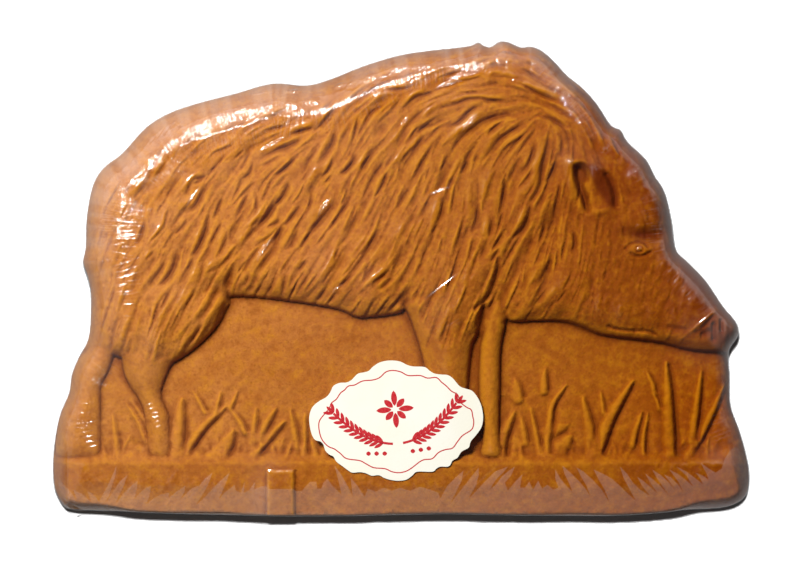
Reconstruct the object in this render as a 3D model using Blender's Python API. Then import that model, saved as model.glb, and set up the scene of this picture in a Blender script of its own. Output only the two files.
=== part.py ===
"""A couque de dinant: a hard honey biscuit pressed in a carved mould, with a wild boar in relief
standing in grass, shut in tight clear film and closed with a lobed paper label.

It lies on its flat back with the relief up. Metres, +Z up; +X runs from the boar's rump to its
snout, +Y from its feet to its back. The origin is the middle of the underside.

The relief is laid out as a mould carver would draw it: on a drawing grid with DRAW_UNIT to a
square, u to the right and v downwards, with the heights given in millimetres above the back.
"""

import math

import bmesh
import bpy
import numpy as np

# ---------------------------------------------------------------- driving dimensions
DRAW_UNIT = 0.300  # mm to one square of the drawing grid
CENTRE_U, CENTRE_V = 401.0, 278.8  # the drawing point over the origin

Z_SIDE = 4.5  # top of the upright side wall
Z_FIELD = 12.4  # plain field behind the animal
Z_GROUND = 15.4  # the strip of ground under its feet
Z_BODY = 20.6  # crown of the trunk
Z_HEAD = 19.4  # crown of the cheek
RIM_FIELD = 7.0  # width of the rounded rim beside the field
RIM_FOOT = 10.5  # width of the rounded rim along the feet
RIM_BODY = 12.5  # width of the rounded rim beside the back
BACK_ROUND = 1.2  # rounding of the edge between side and back

GRID_STEP = 1.2  # spacing of the relief's points before they are thinned
KEEP_SHARE = 0.165  # share of the faces that thinning keeps

LABEL_THICK = 0.5
LABEL_GAP = 0.45  # between the wrapped biscuit and the label
LABEL_CENTRE = (396.0, 419.5)
LABEL_HALF = (83.0, 56.0)  # half width and half height, before the lobes
LABEL_TURN = math.radians(5.0)
LABEL_STEP = 1.7

# ---------------------------------------------------------------- the drawing
# Outer edge of the biscuit, clockwise from the rear corner of the ground.
OUTLINE = [
    (62, 507), (53, 490), (51, 466), (53, 440), (58, 415), (67, 393), (70, 374),  # rear of the ground
    (77, 357), (86, 340), (89, 318), (89, 292), (85, 274), (81, 262), (84, 246),  # hock, tail
    (85, 216), (91, 185), (102, 167), (121, 152), (145, 126), (170, 111),  # rump
    (200, 101), (235, 92), (272, 82), (306, 84), (332, 77), (362, 65), (398, 54),  # loin and back
    (430, 49), (458, 46), (471, 44), (479, 41), (489, 46), (500, 40), (510, 41),  # bristles of the mane
    (521, 46), (531, 45), (542, 49), (554, 59), (569, 75), (584, 87), (599, 104),  # nape
    (612, 124), (622, 129), (629, 141), (647, 158), (656, 175), (666, 191),  # forehead bristles
    (673, 220), (677, 248), (690, 262), (708, 281), (724, 305), (739, 324),  # bridge of the snout
    (738, 338), (730, 351), (731, 372), (732, 404), (741, 430), (748, 455),  # snout disc, front of the ground
    (751, 476), (747, 497), (728, 508), (690, 511), (660, 514), (610, 517),
    (560, 517), (500, 516), (450, 515), (400, 516), (350, 517), (280, 517),
    (210, 516), (150, 514), (100, 512), (74, 511),
]

# The trunk with the haunch and the shoulder.
TRUNK = [
    (97, 335), (92, 300), (89, 262), (91, 222), (99, 190), (120, 162), (150, 137),
    (185, 118), (225, 103), (265, 95), (305, 92), (335, 84), (365, 73), (400, 62),
    (440, 55), (480, 51), (520, 52), (552, 67), (580, 94), (602, 122), (616, 152),
    (598, 192), (560, 232), (528, 262), (503, 300), (484, 336), (452, 350),
    (424, 338), (408, 306), (402, 314), (380, 318), (357, 319), (338, 311),
    (289, 303), (233, 299), (223, 318), (208, 338), (184, 362), (168, 386),
    (148, 398), (128, 386), (114, 362),
]

HEAD = [
    (545, 182), (562, 156), (592, 145), (622, 152), (645, 178), (662, 210),
    (669, 246), (688, 271), (707, 296), (723, 312), (736, 327), (736, 344),
    (726, 352), (696, 353), (664, 345), (628, 341), (594, 335), (563, 324),
    (532, 322), (508, 322), (496, 300), (502, 262), (524, 226),
]

# Limbs: chains of (u, v, radius, height of the crown).
LIMBS = [
    [(102, 318, 26, 17.0), (88, 366, 17, 16.2), (88, 404, 11, 15.2), (90, 438, 11, 15.2), (97, 452, 10, 15.4)],
    [(150, 352, 34, 19.0), (150, 392, 15, 17.6), (151, 420, 11, 16.8), (156, 440, 11, 16.6), (163, 454, 9, 16.2)],
    [(446, 300, 36, 19.6), (445, 346, 32, 18.6), (448, 392, 24, 17.0), (446, 450, 16, 16.4)],
    [(490, 318, 15, 16.6), (491, 356, 14, 16.2), (491, 404, 11, 16.0), (493, 450, 11, 16.0)],
]

# Blades of grass and stalks: (from, to, half width, height over what lies under it).
BLADES = [
    ((116, 456), (119, 414), 2.6, 1.2), ((147, 452), (126, 402), 3.0, 1.3),
    ((178, 456), (185, 394), 4.0, 1.7), ((186, 452), (226, 408), 3.4, 1.5),
    ((222, 456), (236, 432), 4.5, 1.4), ((252, 456), (262, 410), 3.6, 1.5),
    ((275, 456), (268, 416), 3.4, 1.4), ((290, 456), (304, 408), 3.6, 1.5),
    ((306, 456), (318, 424), 3.0, 1.3), ((500, 456), (512, 412), 4.0, 1.5),
    ((543, 454), (530, 404), 2.6, 1.3), ((545, 454), (548, 374), 2.4, 1.3),
    ((556, 454), (566, 428), 6.0, 1.6), ((583, 454), (578, 396), 3.6, 1.5),
    ((592, 454), (632, 380), 4.2, 1.7), ((617, 456), (645, 410), 4.2, 1.6),
    ((663, 458), (666, 364), 4.6, 1.9), ((697, 446), (704, 372), 4.0, 1.6),
    ((680, 458), (716, 402), 3.8, 1.5), ((645, 404), (652, 370), 3.0, 1.3),
]

GROUND_LINE = 459.0  # where the field steps up to the ground
TAB = (268.0, 295.0, 468.0)  # a square-cut tongue on the ground: left, right, upper end
TAB_HIGH = 1.1


def mm(point):
    """A drawing point in millimetres from the origin."""
    return ((point[0] - CENTRE_U) * DRAW_UNIT, (CENTRE_V - point[1]) * DRAW_UNIT)


def smooth_loop(points, steps):
    """A closed curve through the points, with so many steps from each to the next."""
    p = np.array([mm(q) for q in points])
    before, after, beyond = np.roll(p, 1, 0), np.roll(p, -1, 0), np.roll(p, -2, 0)
    found = []
    for t in np.arange(steps) / steps:
        found.append(
            0.5
            * (
                2 * p
                + (after - before) * t
                + (2 * before - 5 * p + 4 * after - beyond) * t**2
                + (3 * p - before - 3 * after + beyond) * t**3
            )
        )
    return np.stack(found, 1).reshape(-1, 2)


def inside_distance(x, y, loop):
    """The distance to a closed curve, positive inside it."""
    nearest = np.full(x.shape, np.inf)
    inside = np.zeros(x.shape, bool)
    for (ax, ay), (bx, by) in zip(loop, np.roll(loop, -1, 0), strict=True):
        ex, ey = bx - ax, by - ay
        t = np.clip(((x - ax) * ex + (y - ay) * ey) / (ex * ex + ey * ey + 1e-12), 0, 1)
        nearest = np.minimum(nearest, np.hypot(x - ax - t * ex, y - ay - t * ey))
        if ay != by:
            crossing = (y < ay) != (y < by)
            inside ^= crossing & (x < ax + (y - ay) * ex / (by - ay))
    return np.where(inside, nearest, -nearest)


def rounded(distance, width, low, high):
    """A quarter ellipse that rises from low at the edge to high at that width inside it."""
    t = np.clip(distance / width, 0, 1)
    return low + (high - low) * np.sqrt(1 - (1 - t) ** 2)


def shoulder(distance, width, low, high):
    """The rim: a round shoulder that runs on down, straight, outside the edge."""
    t = distance / width
    inner = low + (high - low) * (1 - (1 - np.clip(t, 0, 1)) ** 2.4)
    return np.where(t < 0, low + (high - low) * 2.4 * np.maximum(t, -0.25), inner)


def step(value, start, end):
    t = np.clip((value - start) / (end - start), 0, 1)
    return t * t * (3 - 2 * t)


def softened(values, reach, spacing):
    """The values blurred over that reach, in millimetres."""
    span = max(1, int(3 * reach / spacing))
    weights = np.exp(-0.5 * (np.arange(-span, span + 1) * spacing / reach) ** 2)
    weights /= weights.sum()
    for axis in (0, 1):
        pad = [(span, span) if a == axis else (0, 0) for a in (0, 1)]
        wide = np.pad(values, pad, mode="edge")
        values = sum(
            w * np.take(wide, np.arange(i, i + values.shape[axis]), axis)
            for i, w in enumerate(weights)
        )
    return values


def chain_height(x, y, chain):
    """A limb's height across round-ended tapering runs, and 0 beside it."""
    low, best = Z_FIELD - 0.8, np.zeros(x.shape)
    for (u0, v0, r0, z0), (u1, v1, r1, z1) in zip(chain[:-1], chain[1:], strict=True):
        (ax, ay), (bx, by) = mm((u0, v0)), mm((u1, v1))
        ex, ey = bx - ax, by - ay
        t = np.clip(((x - ax) * ex + (y - ay) * ey) / (ex * ex + ey * ey), 0, 1)
        radius = DRAW_UNIT * (r0 + (r1 - r0) * t)
        off = np.hypot(x - ax - t * ex, y - ay - t * ey) / radius
        rise = np.sqrt(np.clip(1 - off**2, 0, 1))
        best = np.maximum(best, np.where(rise > 0, low + (z0 + (z1 - z0) * t - low) * rise, 0))
    return best


def blade_height(x, y, foot, tip, half_width):
    """A blade's cross-section, 1 along its middle, that tapers to a point at the tip."""
    (ax, ay), (bx, by) = mm(foot), mm(tip)
    ex, ey = bx - ax, by - ay
    t = np.clip(((x - ax) * ex + (y - ay) * ey) / (ex * ex + ey * ey), 0, 1)
    width = DRAW_UNIT * half_width * np.sqrt(np.clip(1.02 - t**2, 0.02, 1))
    off = np.hypot(x - ax - t * ex, y - ay - t * ey) / width
    return np.clip(1 - off**2, 0, 1)


def relief(x, y, spacing):
    """The height of the moulded face over a regular grid of points, in millimetres."""
    edge = inside_distance(x, y, smooth_loop(OUTLINE, 3))
    u, v = x / DRAW_UNIT + CENTRE_U, CENTRE_V - y / DRAW_UNIT

    trunk = inside_distance(x, y, smooth_loop(TRUNK, 4))
    head = inside_distance(x, y, smooth_loop(HEAD, 4))
    trunk_z = softened(rounded(trunk, 17, Z_FIELD - 1.2, Z_BODY), 1.1, spacing)
    head_z = softened(rounded(head, 15, Z_FIELD - 1.0, Z_HEAD), 1.1, spacing)
    # The shoulder stands a little over the cheek, and the loin dips behind it.
    trunk_z += 0.9 * np.exp(-(((u - 470) / 75) ** 2) - ((v - 175) / 90) ** 2)
    trunk_z -= 0.8 * np.exp(-(((u - 265) / 70) ** 2) - ((v - 190) / 80) ** 2)
    # The brow and the bridge of the snout over the sunken eye.
    head_z += 0.8 * np.exp(-(((u - 625) / 30) ** 2) - ((v - 205) / 22) ** 2)
    head_z -= 1.2 * np.exp(-(((u - 640) / 16) ** 2) - ((v - 246) / 9) ** 2)
    animal = np.where(trunk > 0, trunk_z, 0)
    animal = np.maximum(animal, np.where(head > 0, head_z, 0))
    for chain in LIMBS:
        animal = np.maximum(animal, chain_height(x, y, chain))

    # The ear: a raised leaf with a hollow in it.
    along, across = (u - 590) * 0.62 + (v - 186) * 0.78, (u - 590) * 0.78 - (v - 186) * 0.62
    leaf = np.clip(1 - (along / 32) ** 2 - (across / 17) ** 2, 0, 1)
    hollow = np.clip(1 - ((along - 3) / 22) ** 2 - ((across - 2) / 9) ** 2, 0, 1)
    animal += np.where(animal > 0, 2.0 * np.sqrt(leaf) - 3.0 * hollow, 0)

    # The flat disc at the end of the snout.
    disc = np.clip(1 - ((u - 724) / 15) ** 2 - ((v - 330) / 21) ** 2, 0, 1)
    animal = np.maximum(animal, np.where(disc > 0, 14.2 + 3.6 * np.sqrt(disc), 0))

    field = np.full(x.shape, Z_FIELD)
    ground = step(v, GROUND_LINE - 4, GROUND_LINE + 3)
    field = field + (Z_GROUND - Z_FIELD) * ground
    for foot, tip, half_width, high in BLADES:
        field = field + high * blade_height(x, y, foot, tip, half_width)
    left, right, upper = TAB
    tongue = step(u, left - 2, left + 2) * (1 - step(u, right - 2, right + 2))
    field = field + TAB_HIGH * tongue * step(v, upper - 2, upper + 2)

    face = np.maximum(field, animal)
    width = RIM_FIELD + (RIM_BODY - RIM_FIELD) * step(-v, -330, -270)
    width = width + (RIM_FOOT - RIM_FIELD) * step(v, 440, 490)
    rim = shoulder(edge, width, Z_SIDE, 24.0)
    gap = face - rim
    return 0.5 * (face + rim - np.sqrt(gap**2 + 1.2**2))


def mesh_object(name, bm, collection, material=None):
    mesh = bpy.data.meshes.new(name)
    bm.to_mesh(mesh)
    bm.free()
    made = bpy.data.objects.new(name, mesh)
    collection.objects.link(made)
    if material:
        mesh.materials.append(material)
    return made


def flat_solid(name, loop, low, high, rounding, collection):
    """A closed outline raised between two heights, with its ends rounded, as a mesh (mm in, m out)."""
    curve = bpy.data.curves.new(name, "CURVE")
    curve.dimensions = "2D"
    curve.fill_mode = "BOTH"
    curve.extrude = (high - low) / 2000 - rounding / 1000
    curve.bevel_depth = rounding / 1000
    curve.offset = -rounding / 1000
    curve.bevel_resolution = 1
    spline = curve.splines.new("POLY")
    spline.points.add(len(loop) - 1)
    for point, (px, py) in zip(spline.points, loop, strict=True):
        point.co = (px / 1000, py / 1000, 0, 1)
    spline.use_cyclic_u = True
    drawn = bpy.data.objects.new(name + "_drawn", curve)
    drawn.location = (0, 0, (low + high) / 2000)
    collection.objects.link(drawn)
    bpy.context.view_layer.update()
    graph = bpy.context.evaluated_depsgraph_get()
    mesh = bpy.data.meshes.new_from_object(drawn.evaluated_get(graph))
    made = bpy.data.objects.new(name, mesh)
    made.matrix_world = drawn.matrix_world.copy()
    collection.objects.link(made)
    bpy.data.objects.remove(drawn)
    bm = bmesh.new()
    bm.from_mesh(mesh)
    bmesh.ops.remove_doubles(bm, verts=bm.verts, dist=1e-6)
    bmesh.ops.recalc_face_normals(bm, faces=bm.faces)
    bm.to_mesh(mesh)
    bm.free()
    made.hide_render = True
    made.display_type = "WIRE"
    return made


def grid_block(name, x0, x1, y0, y1, spacing, top_of, floor_of, collection, material):
    """A block whose upper face, and lower face if floor_of is given, follow height functions."""
    columns, rows = int(round((x1 - x0) / spacing)), int(round((y1 - y0) / spacing))
    xs, ys = np.linspace(x0, x1, columns + 1), np.linspace(y0, y1, rows + 1)
    x, y = np.meshgrid(xs, ys)
    tops, floors = top_of(x, y), floor_of(x, y)

    def index(value, start, end, count):
        return int(round((value * 1000 - start) / (end - start) * count))

    bm = bmesh.new()
    bmesh.ops.create_grid(bm, x_segments=columns, y_segments=rows, size=0.5)
    for vert in bm.verts:
        vert.co.x = (x0 + (x1 - x0) * (vert.co.x + 0.5)) / 1000
        vert.co.y = (y0 + (y1 - y0) * (vert.co.y + 0.5)) / 1000
    lower = bmesh.ops.extrude_face_region(bm, geom=bm.faces[:])
    under = {item for item in lower["geom"] if isinstance(item, bmesh.types.BMVert)}
    for vert in bm.verts:
        i = index(vert.co.x, x0, x1, columns)
        j = index(vert.co.y, y0, y1, rows)
        vert.co.z = (floors if vert in under else tops)[j, i] / 1000
    bmesh.ops.recalc_face_normals(bm, faces=bm.faces)
    return mesh_object(name, bm, collection, material)


def paint(name, colour, roughness, coat=0.0):
    material = bpy.data.materials.new(name)
    material.use_nodes = True
    shader = material.node_tree.nodes["Principled BSDF"]
    shader.inputs["Base Color"].default_value = (*colour, 1)
    shader.inputs["Roughness"].default_value = roughness
    shader.inputs["Metallic"].default_value = 0.0
    shader.inputs["Coat Weight"].default_value = coat
    return material


def cut_to(made, cutter):
    cut = made.modifiers.new("outline", "BOOLEAN")
    cut.operation = "INTERSECT"
    cut.solver = "EXACT"
    cut.object = cutter


def lobed_oval():
    """The label's edge: an oval with a long lobe at each end and side and small ones between."""
    half_u, half_v = LABEL_HALF
    cos, sin = math.cos(LABEL_TURN), math.sin(LABEL_TURN)
    points = []
    for k in range(160):
        a = 2 * math.pi * k / 160
        lobes = 0.030 * math.cos(4 * a) + 0.022 * math.cos(16 * a)
        du = (half_u * (1 + lobes)) * math.cos(a)
        dv = -(half_v * (1 + lobes)) * math.sin(a)
        points.append(
            mm((LABEL_CENTRE[0] + du * cos + dv * sin, LABEL_CENTRE[1] - du * sin + dv * cos))
        )
    return np.array(points)


def label_underside(x, y, spacing):
    """The taut surface on which the label lies: the relief bridged over its hollows."""
    ground = relief(x, y, spacing)
    reach = int(round(9.0 / spacing))
    high = ground
    for axis in (0, 1):
        pad = [(reach, reach) if a == axis else (0, 0) for a in (0, 1)]
        wide = np.pad(high, pad, mode="edge")
        high = np.max(
            [np.take(wide, np.arange(k, k + ground.shape[axis]), axis) for k in range(2 * reach + 1)],
            axis=0,
        )
    bridged = softened(high, 7.0, spacing)
    middle = ((x - mm(LABEL_CENTRE)[0]) / 26) ** 2 + ((y - mm(LABEL_CENTRE)[1]) / 18) ** 2 < 1.15
    return bridged + LABEL_GAP + np.max((ground - bridged)[middle])


def main():
    for old in list(bpy.data.objects):
        bpy.data.objects.remove(old)
    scene = bpy.context.scene.collection
    biscuit = bpy.data.collections.new("couque_de_dinant")
    cutters = bpy.data.collections.new("cutters")
    scene.children.link(biscuit)
    scene.children.link(cutters)

    baked = paint("baked_honey_dough_in_film", (0.40, 0.165, 0.045), 0.42, 0.6)
    paper = paint("label_paper", (0.86, 0.83, 0.74), 0.6)

    loop = smooth_loop(OUTLINE, 3)
    low, high = loop.min(0) - 2.15, loop.max(0) + 2.15
    shape = flat_solid("outline_cutter", loop, 0.0, 60.0, BACK_ROUND, cutters)
    body = grid_block(
        "wrapped_couque", low[0], high[0], low[1], high[1], GRID_STEP,
        lambda x, y: relief(x, y, GRID_STEP), lambda x, y: np.full(x.shape, -16.0),
        biscuit, baked,
    )
    cut_to(body, shape)
    thin = body.modifiers.new("thinned", "DECIMATE")
    thin.ratio = KEEP_SHARE
    thin.use_collapse_triangulate = True

    edge = lobed_oval()
    low, high = edge.min(0) - 3, edge.max(0) + 3
    shape = flat_solid("label_cutter", edge, -10.0, 60.0, 0.0, cutters)
    label = grid_block(
        "label", low[0], high[0], low[1], high[1], LABEL_STEP,
        lambda x, y: label_underside(x, y, LABEL_STEP) + LABEL_THICK,
        lambda x, y: label_underside(x, y, LABEL_STEP),
        biscuit, paper,
    )
    cut_to(label, shape)
    thin = label.modifiers.new("thinned", "DECIMATE")
    thin.ratio = 0.5
    thin.use_collapse_triangulate = True

    for piece in (body, label):
        piece.data.shade_smooth()
        piece.data.set_sharp_from_angle(angle=math.radians(40))


main()
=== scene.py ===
"""The looks of the couque de dinant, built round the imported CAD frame.

Three things stand for the CAD's two nodes: the baked biscuit with its carved relief, the clear film
shrunk over it, and the paper label on the film with its print.

The relief is laid out on the same drawing grid as in the CAD: DRAW_UNIT millimetres to a square,
u to the right and v downwards. Heights are in millimetres above the flat back until the meshes
are made, which are in metres.
"""

import math

import bmesh
import bpy
import numpy as np
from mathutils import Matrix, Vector


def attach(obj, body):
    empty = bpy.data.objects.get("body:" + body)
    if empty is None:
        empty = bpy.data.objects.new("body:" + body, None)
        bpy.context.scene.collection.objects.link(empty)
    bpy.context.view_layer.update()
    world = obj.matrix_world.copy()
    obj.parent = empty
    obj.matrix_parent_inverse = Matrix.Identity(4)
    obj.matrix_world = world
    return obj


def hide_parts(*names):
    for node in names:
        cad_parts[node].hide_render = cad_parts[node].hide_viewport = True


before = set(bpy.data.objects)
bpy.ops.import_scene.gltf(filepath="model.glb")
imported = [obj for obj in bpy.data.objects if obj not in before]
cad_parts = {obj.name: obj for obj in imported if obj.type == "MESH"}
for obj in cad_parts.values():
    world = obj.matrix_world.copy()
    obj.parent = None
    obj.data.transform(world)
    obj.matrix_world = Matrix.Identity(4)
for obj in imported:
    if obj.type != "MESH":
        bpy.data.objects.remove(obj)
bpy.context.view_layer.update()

# ---------------------------------------------------------------- dimensions, as in the CAD
DRAW_UNIT = 0.300
CENTRE_U, CENTRE_V = 401.0, 278.8
Z_SIDE = 4.5
Z_FIELD = 12.4
Z_GROUND = 15.4
Z_BODY = 19.8
Z_HEAD = 18.9
STEP = 0.30  # spacing of the relief's points
FILM_OUT = 0.28  # how far the film stands outside the biscuit

# ---------------------------------------------------------------- the drawing
OUTLINE = [
    (62, 507), (53, 490), (51, 466), (53, 440), (58, 415), (67, 393), (70, 374),
    (77, 357), (86, 340), (89, 318), (89, 292), (85, 274), (81, 262), (84, 246),
    (85, 216), (91, 185), (102, 167), (121, 152), (145, 126), (170, 111),
    (200, 101), (235, 92), (272, 82), (306, 84), (332, 77), (362, 65), (398, 54),
    (430, 49), (458, 46), (471, 44), (479, 41), (489, 46), (500, 40), (510, 41),
    (521, 46), (531, 45), (542, 49), (554, 59), (569, 75), (584, 87), (599, 104),
    (612, 124), (622, 129), (629, 141), (647, 158), (656, 175), (666, 191),
    (673, 220), (677, 248), (690, 262), (708, 281), (724, 305), (739, 324),
    (738, 338), (730, 351), (731, 372), (732, 404), (741, 430), (748, 455),
    (751, 476), (747, 497), (728, 508), (690, 511), (660, 514), (610, 517),
    (560, 517), (500, 516), (450, 515), (400, 516), (350, 517), (280, 517),
    (210, 516), (150, 514), (100, 512), (74, 511),
]

TRUNK = [
    (66, 345), (64, 300), (62, 262), (64, 216), (72, 175), (90, 146), (128, 112),
    (164, 94), (196, 82), (232, 74), (272, 64), (306, 66), (330, 60), (360, 46), (396, 36),
    (430, 31), (458, 28), (500, 22), (540, 32), (568, 56), (600, 86), (632, 116), (658, 146),
    (674, 176), (684, 206), (686, 232), (660, 227), (632, 218), (606, 214), (584, 221), (566, 232), (530, 262), (503, 300), (484, 336), (452, 350),
    (424, 338), (408, 306), (402, 313), (380, 317), (357, 318), (338, 310),
    (289, 302), (233, 298), (223, 318), (208, 338), (184, 358), (160, 366),
    (130, 360), (100, 352),
]

HEAD = [
    (548, 184), (560, 160), (590, 140), (628, 118), (650, 142), (668, 170), (680, 205),
    (688, 243), (702, 254), (720, 273), (738, 298), (752, 322), (750, 344),
    (729, 353), (696, 353), (664, 345), (628, 341), (594, 335), (563, 324),
    (532, 322), (508, 322), (496, 300), (502, 262), (524, 226),
]

NEAR_HIND_LEG = [
    (118, 318), (121, 345), (124, 370), (130, 385), (138, 396), (144, 410), (147, 430),
    (148, 446), (152, 457), (168, 459), (173, 448), (171, 425), (170, 413), (165, 402),
    (163, 392), (166, 383), (170, 372), (176, 362), (188, 353), (200, 345), (212, 334),
    (222, 322), (228, 310), (231, 298), (205, 275), (150, 280),
]

FAR_HIND_LEG = [
    (88, 318), (84, 344), (76, 360), (70, 376), (66, 396), (58, 416), (55, 440), (56, 456),
    (80, 460), (101, 456), (102, 430), (103, 402), (103, 386), (111, 370), (119, 346), (126, 310),
]

NEAR_FORELEG = [
    (404, 300), (409, 318), (418, 345), (424, 372), (428, 410), (432, 452), (462, 458),
    (468, 420), (470, 385), (473, 352), (477, 334), (482, 316), (484, 290), (440, 270),
]

FAR_FORELEG = [
    (480, 300), (480, 330), (478, 360), (478, 400), (482, 436), (480, 456), (502, 458),
    (500, 436), (500, 400), (501, 352), (504, 333), (507, 316), (500, 295),
]

GROUND_LINE = 459.0
TAB = (268.0, 295.0, 468.0)
TAB_HIGH = 1.35
APRON, APRON_FALL = 9.4, 0.30  # the ground slopes off to the foot: over that width, at that slope

# Width of the rounded rim at points round the edge, in millimetres.
RIM_WIDTHS = [
    (60, 480, 6.5), (150, 517, 0.9), (300, 517, 0.8), (480, 517, 0.8), (650, 515, 0.9),
    (80, 511, 2.0), (740, 500, 2.6), (748, 470, 6.5), (735, 400, 6.0), (735, 360, 5.0), (738, 330, 4.2), (700, 275, 6.0),
    (670, 220, 6.0), (650, 165, 6.0), (600, 105, 6.0), (550, 55, 5.0), (500, 40, 5.0),
    (450, 48, 7.0), (400, 55, 8.5), (340, 75, 10.5), (272, 82, 11.0), (200, 101, 12.0),
    (130, 140, 12.5), (95, 180, 12.0), (85, 260, 11.0), (89, 320, 10.0), (70, 375, 8.0),
    (53, 430, 7.5),
]

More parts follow.
